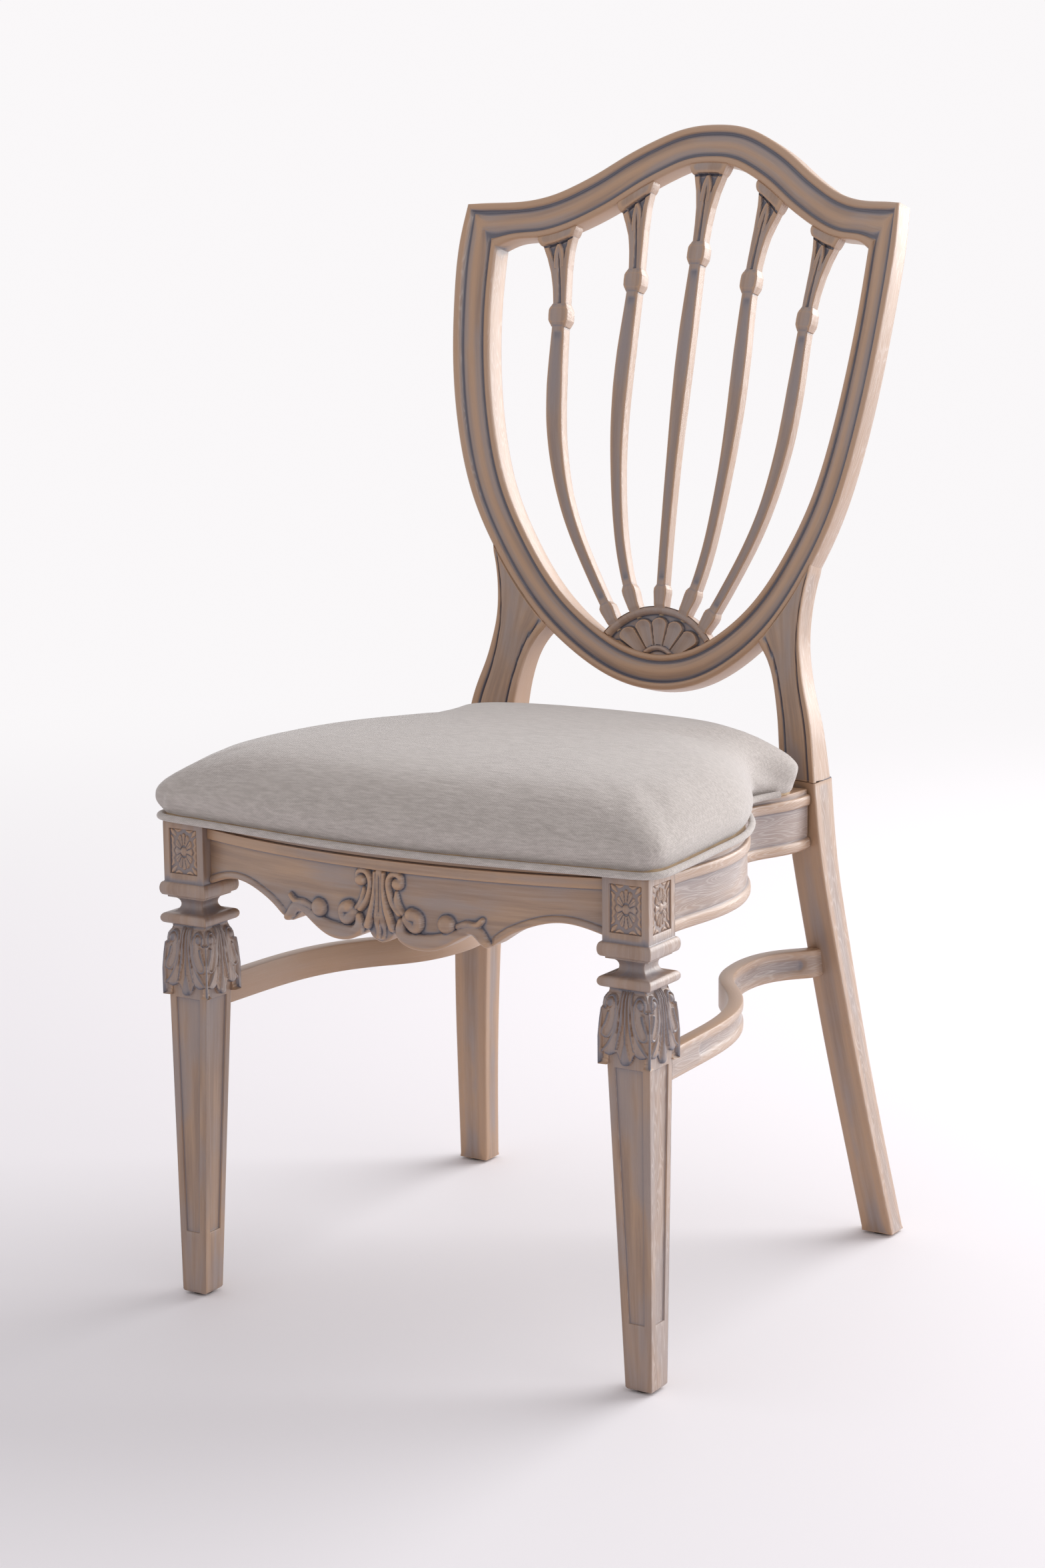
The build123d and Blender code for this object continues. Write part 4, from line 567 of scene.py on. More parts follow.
# Leaf carving on half a side, from its middle to its corner at LEAF_HALF: points, widths and heights
LEAF_HALF, LEAF_DEPTH = 21, 1.2
leaf_curl = [((14.6, 314.0), 3.7, 3.0)]
leaf_veins = [
    ([(17.8, 309.5), (18.8, 314.5), (16, 319.2), (11.8, 318.6), (8.7, 313), (7.7, 305), (8.6, 297),
      (11.2, 290.5), (14.8, 287), (17.8, 289), (17.3, 294.5), (15.3, 300), (14.2, 305.5)],
     (1.3, 1.5), (2.2, 2.2), 0.5),
    ([(11.6, 313), (10.8, 305), (12, 297), (14.6, 290.5)], (2.8, 3.2), (1.2, 1.2), 0.3),
    ([(0, 323), (0, 305), (0, 290), (0, 281)], (1.3, 1.1), (1.9, 1.6), 0.5),
    ([(0, 284), (0, 275), (0, 269.2)], (0.7, 2.6, 4.0), (1.3, 1.9, 2.2), 0.45),
    ([(3.0, 323), (3.2, 309), (3.8, 297), (5.4, 287), (7.2, 278)],
     (1.3, 1.3, 1.4, 1.3, 0.9), (2.0, 1.9), 0.5),
    ([(5.5, 323), (5.9, 309), (7.2, 297), (10.6, 286), (14.6, 279.4), (18, 275.6)],
     (1.1, 1.3, 1.5, 1.7, 1.6, 1.2), (2.0, 2.2), 0.5),
    ([(7.6, 290), (10, 282.6), (12.4, 276.6)], (1.2, 3.2, 5), (1.4, 1.7, 1.6), 0.35),
    ([(20.9, 309), (21, 290), (21, 264)], (1.2, 2.4, 2.9), (1.4, 2.0, 2.0), 0.4)]
leaf_tips = np.array([(0, 265), (2.5, 265.6), (4.6, 268), (6.2, 271.6), (7.2, 275), (9, 273.6), (12, 272),
                      (15.5, 272.6), (17.4, 274.4), (18.4, 267), (21, 264.4)])
leaf_swell = np.array([(262, 2.4), (264, 2.4), (288, 2.4), (301, 1.9), (309, 1.3), (316.5, 0.2),
                       (320.5, -1.6), (323.5, -3.4), (325, -4.4)])


def leaf_sleeve(name):
    """Acanthus leaf round the head of the front leg, the same on its four sides."""
    z = np.linspace(324.8, 262.6, 112)
    zz, pp = np.meshgrid(z, np.linspace(-1, 1, 60)[:-1], indexing="ij")
    a = abs(pp) * LEAF_HALF
    base = np.interp(z, *leaf_swell.T)[:, None]
    on = ease(-0.4, 0.5, zz - np.interp(a, *leaf_tips.T))
    fade = np.interp(z, [321, 325], [1, 0.5])[:, None]
    out = base - 2.1 + LEAF_DEPTH * relief(a, zz, leaf_curl, leaf_veins) * fade
    out = on * out + (1 - on) * np.full_like(out, -4.6)
    reach = POST / 2 + np.maximum(out[:, :1], -3.6)
    rings = []
    for k in range(4):
        x, y = (POST_MID + pp * reach, -out) if k in (0, 2) else (POST_OUTER + out, POST / 2 + pp * reach)
        if k > 1:
            x, y = 2 * POST_MID - x, POST - y
        rings.append(np.dstack([x, y + FRONT, zz]))
    return ringed(name, np.concatenate(rings, axis=1), z)


corner_leaves = [([(13.2, 18.8), (11, 16), (8.4, 13.2)], (0.8, 2.2, 1.0), (1.8, 1.9, 1.2)),
                 ([(13, 12.5), (11.2, 10), (11.6, 7)], (0.8, 1.7, 1.2), (1.5, 1.7, 1.4)),
                 ([(12, 6.4), (10.8, 3.2), (12, 0)], (1.2, 2.0, 1.4), (1.4, 1.7, 1.4)),
                 ([(8.6, 18.6), (5.8, 17.2), (3, 18.4)], (1.2, 1.6, 1.0), (1.5, 1.5, 1.3))]
flower_eye = [((0, 0), 3.9, 2.7)]


def rosette(name, side):
    """Oval flower with pointed corner leaves, in the square sinking of the post."""
    half_x, half_z, flower_x, flower_z = 13.6, 19.1, 9.6, 16.5
    x, z = np.meshgrid(np.linspace(-half_x, half_x, 62), np.linspace(-half_z, half_z, 86))
    a, b = abs(x), abs(z)
    turn, far = np.arctan2(z / flower_z, x / flower_x), np.hypot(x / flower_x, z / flower_z)
    petal = abs(np.cos(6 * turn)) ** 0.7
    tip = 0.86 + 0.14 * petal
    h = (0.5 + 1.5 * petal) * ease(0, 0.12, tip - far)
    h -= 0.7 * np.exp(-(np.sin(6 * turn) * far * 6) ** 2) * ease(0.25, 0.4, far) * (far < tip) * (b > 3)
    h = np.where(far < 0.34, np.minimum(h, 0.6), h)
    h = np.maximum(h, relief(a, b, flower_eye, corner_leaves))
    out = np.pad(-2.5 + h * ease(0, 0.8, 13.7 - a) * ease(0, 0.8, 19.2 - b), 1, constant_values=-4.0)
    x, z = np.pad(x, 1, mode="edge"), np.pad(z, 1, mode="edge")
    x, z = x + POST_MID if side == "fore" else x + POST / 2, z + ROSETTE_Z
    rows = np.dstack([x, FRONT - out, z]) if side == "fore" else np.dstack([POST_OUTER + out, x + FRONT, z])
    return skin(name, rows, z, x, ends=True)


def front_leg(name):
    """Post and rings, panelled taper, leaf and two rosettes, joined as one piece."""
    z, o = np.array(leg_edge()).T
    sunk = 2.0 * ease(406.7, 406.3, z) * ease(368.3, 368.7, z)
    head = leg_part("head", z, POST_INNER - o, POST_OUTER + o, -o, POST + o, sunk, (2, 3))
    z = np.r_[300, 285, 263.2, 262.6, 262.2, 261.8, np.linspace(261.4, 58, 60), 57.4, 57, 56.6, 56.2, 50,
              np.linspace(45, 6, 10), 4, 3, GLIDE_TOP]
    share, end = (z - GLIDE_TOP) / 261.5, np.interp(z, [GLIDE_TOP, 4], [0.9, 0])
    sunk = 1.5 * ease(56.4, 57.2, z) * ease(262.4, 261.8, z)
    sides = ((205.6, 192.9, 1), (229.6, 230.5, -1), (6.4, 2.2, 1), (31, 37.5, -1))
    sides = (low + (high - low) * share + inward * end for low, high, inward in sides)
    shaft = leg_part("shaft", z, *sides, sunk, (2,))
    parts = [head, shaft, leaf_sleeve("sleeve"), rosette("flower_fore", "fore"),
             rosette("flower_side", "side")]
    for part, reach, depth in zip(parts, (10, 4, 12, 12, 12), (1.0, 0.8, 0.75, 0.4, 0.4)):
        age(part, reach, depth)
    return joined(name, parts)


# Rails and stretchers, from the front post to the rear leg

rail_curve = [(226, 41), (226.2, 46), (227, 60), (229.5, 83), (232, 113), (230.5, 142), (224.5, 169),
              (216, 191), (200, 219), (181, 245), (166, 268), (159.5, 288), (160, 303), (164.5, 318),
              (171, 334), (175.5, 351), (176.5, 364), (176.5, 376)]
stretcher_curve = [(226, 35), (226, 46), (225.3, 66), (223.5, 112), (218.5, 158), (206, 199), (196, 218),
                   (182, 238), (166.5, 258), (156.5, 278), (151, 302), (150, 331), (154.5, 350), (163, 365),
                   (173, 376.5), (179.5, 386), (181, 393.5), (181, 402)]


def rail_form(line, section):
    """Rings of a curved rail: each point of its section is a step in from the outer curve and a height."""
    rings = np.empty((len(line), len(section), 3))
    for k, (step, z) in enumerate(section):
        rings[:, k, :2] = beside(line, -step) + (0, FRONT)
        rings[:, k, 2] = z
    return rings


def side_rail(name):
    section = [(21.5, 361.3), (1.6, 361.2), (0.5, 361.9), (-0.4, 363.6), (-0.6, 366), (-0.3, 368.4),
               (0.6, 370.2), (1.9, 371), (2.5, 371.4), (2.4, 372.6), (2.2, 375), (2.2, 385), (2.2, 395),
               (2.3, 398), (1.9, 398.9), (0.9, 399.3), (0.2, 400), (-0.2, 402), (-0.2, 405.5), (0.2, 407.4),
               (0.9, 408.2), (2.4, 408.5), (3.3, 408.8), (3.4, 410), (3.4, 412.4), (4, 413), (21.5, 413),
               (22, 412.4), (22, 387), (22, 362)]
    line = flow(rail_curve, 170)
    return age(ringed(name, rail_form(line, section), runs(line)), 12, 0.9)


def rear_rail(name):
    """Rail between the rear legs, with a lip along its top that reaches under the pad."""
    (left, fore, low), (right, back, top) = (np.array(p) * 1000 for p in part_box("rear_seat_rail"))
    lip, under = fore - REAR_LIP, top - LIP_THICK
    outline = np.array([(fore, low + 1), (fore + 1, low), (back - 2, low), (back, low + 2), (back, top - 2),
                        (back - 2, top), (lip + 1, top), (lip, top - 1), (lip, under + 1), (lip + 1, under),
                        (fore, under), (fore, low + 1)])
    run = runs(outline)
    y, z = (np.interp(np.linspace(0, run[-1], 100)[:-1], run, outline[:, k]) for k in (0, 1))
    x = np.linspace(left, right, 126)
    rings = np.stack([np.stack([np.full_like(y, at), y, z], -1) for at in x])
    return age(ringed(name, rings, x), 4, 0.6)


def stretcher(name):
    """Flat curved bar with a round-ended hollow along its outer face."""
    section = [(12.4, 244.8), (1.8, 244.5), (0.7, 245), (0.1, 246.2), (0, 248), (0, 250.6), (0, 252),
               (0, 253), (0, 255), (0, 257), (0, 259), (0, 261), (0, 262), (0, 263.4), (0, 266),
               (0.1, 267.8), (0.7, 269), (1.8, 269.5), (11.4, 269.5), (12.5, 269), (13, 268), (13, 257),
               (13, 246)]
    first, last = 4, 17
    middle_z, half, deep, from_front, from_rear = 257, 5.6, 2.0, 62, 34
    line = flow(stretcher_curve, 230)
    rings, along, d = rail_form(line, section), runs(line), heading(line)
    z = rings[..., 2]
    s = along[:, None] + 0 * z
    past = np.maximum(np.maximum(from_front - s, s - (along[-1] - from_rear)), 0)
    face = np.array([first <= k <= last for k in range(len(section))])
    dip = deep * dome(np.minimum(np.hypot(past, z - middle_z) / half, 1)) * face[None]
    rings[..., 0] += -d[:, None, 1] * dip
    rings[..., 1] += d[:, None, 0] * dip
    return age(ringed(name, rings, along), 10, 0.9)


# Front apron: lower edge of one half, from the middle leaf to the post, and its ornament

apron_leaf = [(0, 340.5), (4.5, 341.6), (9, 344.5), (12, 349.5)]
apron_drop = [(12, 349.5), (17, 346), (27, 341), (40, 339), (52, 340.5), (62, 345), (70, 350), (80, 355.5)]
apron_arch = [(80, 355.5), (84, 352), (88, 348), (95, 346.5), (102, 350), (112, 357), (125, 363.5),
              (140, 368.5), (154, 370.3), (166, 369), (180, 365), (190.5, 361)]
APRON_BOW, APRON_FACE, APRON_REAR, FIELD_TOP = 29.6, 5.0, 24.0, 398.2
CARVED_END, CARVED_DEPTH = 104, 1.75
apron_bend = (POST_INNER ** 2 + APRON_BOW ** 2) / (2 * APRON_BOW)
apron_knobs = [((60.5, 362), 7.6, 4.6), ((17.6, 390), 5.2, 4.2)]
apron_strokes = [
    # small bar beside the berry, curl, scroll along the lower edge and its end
    ([(70, 361), (78, 363.2), (86, 363.6), (91, 368)], (2.6, 3.4, 3.0, 2.2), (1.6, 2.4, 2.6, 2.8)),
    ([(26, 362.5), (34, 357), (35.5, 363.8), (29.5, 366.6)], (5.5, 5.2, 4.6, 5.6), (3.4, 3.6, 3.8, 4.6)),
    ([(20, 360), (19.5, 353), (24.5, 346.5), (36, 344.5), (49, 345.8), (62, 350.5), (76, 357)],
     (3.2, 5.2, 7.4, 7.2, 6.4, 5.4, 3.4), (3.0, 3.6, 3.4, 3.0, 2.6, 2.2, 1.6), 0.35),
    ([(72, 357), (80, 359.6), (87, 358.5), (91.5, 353), (95, 349.5)],
     (3.4, 3.8, 4.6, 4.4, 3.4), (2.0, 2.6, 3.0, 3.2, 3.2), 0.45),
    # volute at the top, with its tail
    ([(20.5, 391), (19, 396.3), (12.6, 397), (8.6, 391), (9.3, 382), (13, 373), (18.5, 366.5)],
     (2.6, 2.8, 2.6, 2.4, 2.6, 3.0, 2.8), (2.6, 3.0, 3.0, 2.8, 2.8, 3.0, 3.0)),
    ([(15.5, 383), (15.8, 377), (18.6, 370), (22, 367)], (1.6, 3.0, 3.4, 2.4), (1.4, 2.4, 2.8, 2.6)),
    # central leaf with three lobes
    ([(0.2, 397), (0.4, 380), (0.6, 362), (0.4, 347)], (3.6, 3.4, 5.4, 4.4), (2.2, 2.6, 2.8, 2.6), 0.3),
    ([(4.2, 397), (4.4, 382), (7.6, 366), (11.8, 354)], (1.8, 2.0, 3.2, 3.6), (2.4, 3.0, 3.4, 3.2), 0.45)]
apron_bud = ([(0, 366), (0, 352), (0, 346.5)], (0.6, 1.6, 2.0), (0.5, 2.0, 2.2))


def apron_y(x, step):
    return FRONT + 5.6 - APRON_BOW + step + apron_bend - np.sqrt(apron_bend ** 2 - x * x)


def carving(x, z):
    """Height of the apron's ornament: leaf, volutes, scrolls, berries and drops, the same on both sides."""
    a = abs(x)
    h = relief(a, z, apron_knobs, apron_strokes)
    groove = np.exp(-(a / 0.9) ** 2) * ease(350, 356, z) * ease(398, 392, z)
    cup = 1.6 * np.exp(-(np.hypot(a / 1.15, z - 350) / 5.0) ** 2) * (a < 9)
    return h - 1.1 * groove * (a < 4) - cup * (h > 0.5) + stroke(a, z, *apron_bud) * (z < 366)


def front_apron(name):
    x = np.unique(np.r_[np.linspace(-CARVED_END, CARVED_END, 330), np.linspace(-189.7, -CARVED_END, 60),
                        np.linspace(CARVED_END, 189.7, 60), -12, 12, -80, 80, 0])
    line = np.vstack([flow(apron_leaf, 60), flow(apron_drop, 120)[1:], flow(apron_arch, 200)[1:]])
    line = line[np.argsort(line[:, 0], kind="stable")]
    low = np.interp(abs(x), line[:, 0], line[:, 1])
    lower = np.r_[0, 0.004, 0.012, 0.025, np.linspace(0.045, 0.74, 78)[:-1]] / 0.74
    upper = [398.6, 398.9, 399.1, 399.4, 399.9, 400.6, 402, 404, 406, 407.3, 408, 408.4, 408.7, 409, 409.6,
             411, 412.2, 412.7, 413]
    z = np.array([np.r_[foot + (FIELD_TOP - foot) * lower, upper] for foot in low]).T
    xx = np.broadcast_to(x, z.shape)
    far = abs(xx)
    near = z - low[None]
    band = 4.0 * ease(398.9, 399.6, z) * ease(408.8, 408.0, z)
    band = band + 0.4 * dome((z - 403.7) / 4.8) * (abs(z - 403.7) < 4.8)
    out = band + 2.4 * ease(408.5, 409.2, z)
    # bead along the arch, from the scroll's end to the post
    square = near / np.sqrt(1 + np.gradient(low, x)[None] ** 2)
    bead = 2.4 * dome(np.clip((square - 3.1) / 3.1, -1, 1)) * ease(96, 103, far) * (square < 6.2)
    out += np.where(far > 90, bead, 0)
    out -= 0.9 * np.exp(-((square - 7.2) / 1.0) ** 2) * ease(98, 106, far)
    out = np.maximum(out, CARVED_DEPTH * carving(xx, z) * ease(CARVED_END, 98, far))
    # the lower edge is rounded
    out -= 1.0 * np.clip(1 - near / 1.2, 0, 1) ** 2
    face = np.dstack([xx, apron_y(xx, APRON_FACE) - out, z])
    hind = np.dstack([xx, apron_y(xx, APRON_REAR), z])
    rows = np.concatenate([hind[:1], face, hind[-1:], hind[::-1][::6], hind[:1]])
    return age(skin(name, rows, rows[..., 0], rows[..., 2], ends=True), 10, 0.5)


# Seat: outline of one half from the front to the rear, and the pad's share of it at each share of its height

seat_half = [(60, -25), (120, -18.5), (172, -12), (206, -8), (225, -5.5), (235, -1), (239, 9), (239, 24),
             (236.5, 60), (232, 107), (229.5, 137), (225, 165), (217, 190), (203, 219), (185, 246),
             (171, 270), (163.5, 290), (163.5, 307), (169, 326), (175, 342), (175.5, 353), (170, 361),
             (156, 365.5), (134, 369), (110, 374), (60, 381)]
seat_loop = flow_loop([(0, -27)] + seat_half + [(0, 383)] + mirror(seat_half[::-1]), SEAT_POINTS)
soft_loop = seat_loop
for _ in range(300):
    soft_loop = (np.roll(soft_loop, 1, 0) + 2 * soft_loop + np.roll(soft_loop, -1, 0)) / 4
pad_shape = [(0.003, 0.955), (0.05, 0.956), (0.085, 0.966), (0.12, 0.985), (0.17, 0.998), (0.3, 1.012),
             (0.42, 1.008), (0.53, 0.99), (0.63, 0.963), (0.72, 0.929), (0.8, 0.882), (0.87, 0.813),
             (0.92, 0.725), (0.955, 0.615), (0.98, 0.48), (1.0, 0.25)]
# folds at the front corners of the pad: foot and head of the right one
fold_foot, fold_head = (232, -5, 416), (219, -12, 452)


def seat_ring(share, inset=0.0, soft=0.0):
    """The seat's outline drawn in to a share of its size; soft rounds its corners."""
    loop = seat_loop + (soft_loop - seat_loop) * soft
    ring = loop * (share, 1)
    ring[:, 1] = SEAT_MID_Y + (loop[:, 1] - SEAT_MID_Y) * share
    d = np.roll(seat_loop, -1, 0) - np.roll(seat_loop, 1, 0)
    d /= np.linalg.norm(d, axis=1)[:, None]
    return ring + np.c_[-d[:, 1], d[:, 0]] * inset


def pad(name):
    """Stuffed pad, drawn in above the piping; its foot stands further out at the rear, where it has none."""
    def level(ring, z):
        return np.c_[ring, np.full(SEAT_POINTS, z)]

    behind = ease(325, 350, seat_loop[:, 1:])
    rows = [level(seat_ring(0.0), PAD_BED)]
    for rise, share in flow([(r * 100, s * 100) for r, s in pad_shape], 60) / 100:
        soft = 0.85 * ease(0.3, 0.85, rise)
        rear_share = max(share, REAR_FOOT_SHARE) if rise < 0.2 else share
        ring, rear = (seat_ring(k, -0.6, soft) for k in (share, rear_share))
        rows.append(level(ring + (rear - ring) * behind, PAD_FOOT + PAD_RISE * rise))
    rows += [level(seat_ring(share), PAD_FOOT + PAD_CROWN) for share in (0.12, 0.0)]
    rows = np.array(rows)
    rows[..., 1] += FRONT
    piece = ringed(name, rows, np.zeros(len(rows)), ends=False)
    swell(piece, 0.002)
    for side in (-1, 1):
        tuck(piece, *(np.array((side * x, y + FRONT, z)) for x, y, z in (fold_foot, fold_head)))
    return piece


def tuck(piece, foot, head):
    """A fold sewn into a front corner of the pad, deepest at its foot."""
    points = piece.data.vertices
    co, no = read(points, "co", 3) * 1000, read(points, "normal", 3)
    t = np.clip((co - foot) @ (head - foot) / ((head - foot) @ (head - foot)), 0, 1)
    far = np.linalg.norm(co - foot - t[:, None] * (head - foot), axis=1)
    rise = (1 - t) * (1.6 * np.exp(-((far - 7) / 3.5) ** 2) - 3.4 * np.exp(-(far / 3) ** 2))
    points.foreach_set("co", ((co + no * rise[:, None]) / 1000).ravel())
    piece.data.update()


def swell(piece, cap):
    """Blows the pad up a little as cloth, sewn down round its foot; no point moves further than the cap."""
    alone(piece)
    apply(piece, "even", "REMESH", mode="VOXEL", voxel_size=0.005)
    start = read(piece.data.vertices, "co", 3)
    sewn = piece.vertex_groups.new(name="sewn")
    sewn.add([int(i) for i in np.nonzero(start[:, 2] < SEWN_BELOW)[0]], 1.0, "REPLACE")
    cloth = piece.modifiers.new("cloth", "CLOTH")
    cloth.settings.quality = 4
    cloth.settings.use_pressure = True
    cloth.settings.uniform_pressure_force = 4
    cloth.settings.vertex_group_mass = "sewn"
    cloth.settings.effector_weights.gravity = 0
    cloth.collision_settings.use_collision = False
    scene = bpy.context.scene
    for step in range(1, 21):
        scene.frame_set(step)
    bpy.ops.object.modifier_apply(modifier=cloth.name)
    scene.frame_set(1)
    move = read(piece.data.vertices, "co", 3) - start
    far = np.linalg.norm(move, axis=1)[:, None] + 1e-12
    piece.data.vertices.foreach_set("co", (start + move * np.minimum(1, cap / far)).ravel())
    piece.vertex_groups.clear()
    apply(piece, "smooth", "SMOOTH", factor=0.5, iterations=2)
    apply(piece, "fine", "SUBSURF", levels=1, render_levels=1)
    bpy.ops.object.shade_smooth()


def welt(name):
    """Round piping along the sides and the front of the pad's foot."""
    ring = seat_ring(WELT_SHARE, -3.3)
    ring = ring[ring[:, 1] < WELT_END]
    k = np.argmax(np.linalg.norm(np.diff(ring, axis=0), axis=1))
    line = flow(np.vstack([ring[k + 1:], ring[:k + 1]])[::3], 700)
    d = heading(line)
    a = np.linspace(0, 2 * pi, 20, endpoint=False)
    rings = np.empty((len(line), len(a), 3))
    away = np.c_[-d[:, 1], d[:, 0]][:, None] * (WELT_RADIUS * np.cos(a))[None, :, None]
    rings[..., :2] = line[:, None] + away
    rings[..., 1] += FRONT
    rings[..., 2] = WELT_Z + WELT_RADIUS * np.sin(a)
    return ringed(name, rings, runs(line))


# Materials

class Shade:
    """A socket of a material; sums on it add Math nodes."""

    def __init__(self, tree, socket=None):
        self.tree, self.socket = tree, socket

    def add(self, kind, sockets=(), out=0, **settings):
        node = self.tree.nodes.new(kind)
        for key, value in settings.items():
            setattr(node, key, value)
        for key, value in dict(sockets).items():
            if isinstance(value, Shade):
                self.tree.links.new(value.socket, node.inputs[key])
            else:
                node.inputs[key].default_value = value
        return Shade(self.tree, node.outputs[out]) if node.outputs else None

    def math(self, operation, *others):
        return self.add("ShaderNodeMath", enumerate((self, *others)), operation=operation)

    def from_other(self, operation, other):
        return self.add("ShaderNodeMath", {0: other, 1: self}, operation=operation)

    def __add__(self, other): return self.math("ADD", other)
    def __radd__(self, other): return self.from_other("ADD", other)
    def __sub__(self, other): return self.math("SUBTRACT", other)
    def __rsub__(self, other): return self.from_other("SUBTRACT", other)
    def __mul__(self, other): return self.math("MULTIPLY", other)
    def __rmul__(self, other): return self.from_other("MULTIPLY", other)
    def __pow__(self, other): return self.math("POWER", other)

    def between(self, low, high):
        return self.add("ShaderNodeMapRange", {0: self, 1: low, 2: high}, interpolation_type="SMOOTHSTEP")

    def mix(self, one, two):
        """From colour one to colour two by this value."""
        return self.add("ShaderNodeMix", {0: self, 6: one, 7: two}, out=2, data_type="RGBA")

    def attribute(self, name):
        return self.add("ShaderNodeAttribute", attribute_name=name, out=2)

    def spot(self):
        """Object coordinates."""
        return self.add("ShaderNodeTexCoord", out=3)

    def join(self, x, y, z=0.0):
        return self.add("ShaderNodeCombineXYZ", {0: x, 1: y, 2: z})

    def noise(self, vector, scale, detail=3.0, rough=0.55):
        return self.add("ShaderNodeTexNoise", {"Vector": vector, "Scale": scale, "Detail": detail,
                                               "Roughness": rough})

    def bump(self, height, strength, distance):
        return self.add("ShaderNodeBump", {"Height": height, "Strength": strength, "Distance": distance})


def material(name, build):
    made = bpy.data.materials.new(name)
    made.use_nodes = True
    tree = made.node_tree
    tree.nodes.clear()
    shader = Shade(tree).add("ShaderNodeBsdfPrincipled", build(Shade(tree)))
    Shade(tree).add("ShaderNodeOutputMaterial", {"Surface": shader})
    return made


def rgb(r, g, b):
    return (r, g, b, 1.0)


dark_tan, light_tan = rgb(0.28, 0.182, 0.132), rgb(0.445, 0.283, 0.18)
greyed_tan, grey_wash, deep_wash = rgb(0.275, 0.232, 0.232), rgb(0.2, 0.18, 0.2), rgb(0.085, 0.085, 0.115)
worn_edge, painted_side_sheen, lime_and_sheen = rgb(0.47, 0.285, 0.17), rgb(0.59, 0.48, 0.43), rgb(0.76, 0.70, 0.67)
dark_yarn, light_yarn = rgb(0.365, 0.327, 0.303), rgb(0.6, 0.545, 0.515)
TWILL = 0.0019


def antiqued(s):
    """Tan wood look: washed grey in hollows and streaks, worn edges, liming in the pores, and painted sheen on
    sideways faces: paler, less grey, with more liming.
    """
    along, across, hollow = s.attribute("along"), s.attribute("across"), s.attribute("hollow")
    turned = s.attribute("turned").between(0.6, 0.95)
    streak = s.noise(s.join(along * 0.007, across * 0.14), 1.0, 4.0)
    patch = s.noise(s.join(along * 0.011, across * 0.03, 3.7), 1.0, 2.0)
    grain = s.noise(s.join(along * 0.035, across * 1.3), 1.0, 4.0, 0.65)
    ring = s.noise(s.join(along * 0.012, across * 0.09, 8.1), 1.0, 1.0)
    ring = ((ring * 95.0).math("SINE") * 0.5 + 0.5) ** 3.0
    tan = streak.between(0.3, 0.7).mix(dark_tan, light_tan)
    greyed = (patch * 0.6 + streak * 0.4).between(0.43, 0.59)
    colour = (greyed * 0.66).mix(tan, greyed_tan)
    smoke = hollow * (0.4 + streak * 1.2)
    # Sideways faces get thinner grey and dark washes: painted sheen.
    wash_and_shade = smoke.between(0.0, 0.6) * (0.8 - turned * 0.35)
    colour = wash_and_shade.mix(colour, grey_wash)
    colour = (smoke.between(0.45, 1.25) * (0.85 - turned * 0.4)).mix(colour, deep_wash)
    colour = ((0 - hollow).between(0.4, 1.2) * 0.75).mix(colour, worn_edge)
    # Painted sheen: sideways faces are made paler.
    colour = (turned * 0.18).mix(colour, painted_side_sheen)
    # Liming in the grain everywhere, much stronger on sideways faces as painted sheen.
    lime_and_sheen_share = (grain.between(0.53, 0.68) * (0.06 + turned * 0.26) + ring * turned * 0.22).math("MINIMUM", 1.0)
    return {"Base Color": lime_and_sheen_share.mix(colour, lime_and_sheen), "Roughness": 0.36 + grain * 0.14 + wash_and_shade * 0.08,
            "Normal": s.bump(grain + ring * turned * 0.5, 0.35, 0.0005), "Specular IOR Level": 0.5,
            "Coat Weight": 0.45 + turned * 0.2, "Coat Roughness": 0.32}


def cloth(s):
    """Twill of pale grey-brown yarn, with slubs."""
    spot = s.spot()
    x, y, z = (s.add("ShaderNodeSeparateXYZ", {0: spot}, out=k) for k in range(3))
    wander = s.noise(spot, 160.0, 2.0) * 1.6
    twill = ((x + y + z) * (2 * pi / TWILL) + wander).math("SINE") * 0.5 + 0.5
    slub = s.noise(s.join(x * 90.0, y * 500.0, z * 500.0), 1.0, 3.0)
    fleck = s.noise(spot, 1100.0, 2.0)
    tone = (twill * 0.22 + slub * 0.48 + fleck * 0.3).between(0.3, 0.72)
    return {"Base Color": tone.mix(dark_yarn, light_yarn), "Roughness": 0.92,
            "Normal": s.bump(twill * 0.5 + slub * 0.4 + fleck * 0.5, 0.4, 0.0005),
            "Sheen Weight": 0.5, "Sheen Roughness": 0.4}


def plain(one, two, scale, rough, metal=0.0):
    """A finish with a faint grain between two colours."""
    def build(s):
        grain = s.noise(s.add("ShaderNodeMapping", {0: s.spot(), 3: (scale, scale, scale * 0.2)}), 1.0, 4.0)
        return {"Base Color": grain.between(0.3, 0.7).mix(rgb(*one), rgb(*two)), "Metallic": metal,
                "Roughness": grain * 0.15 + rough, "Normal": s.bump(grain, 0.2, 0.0003)}
    return build


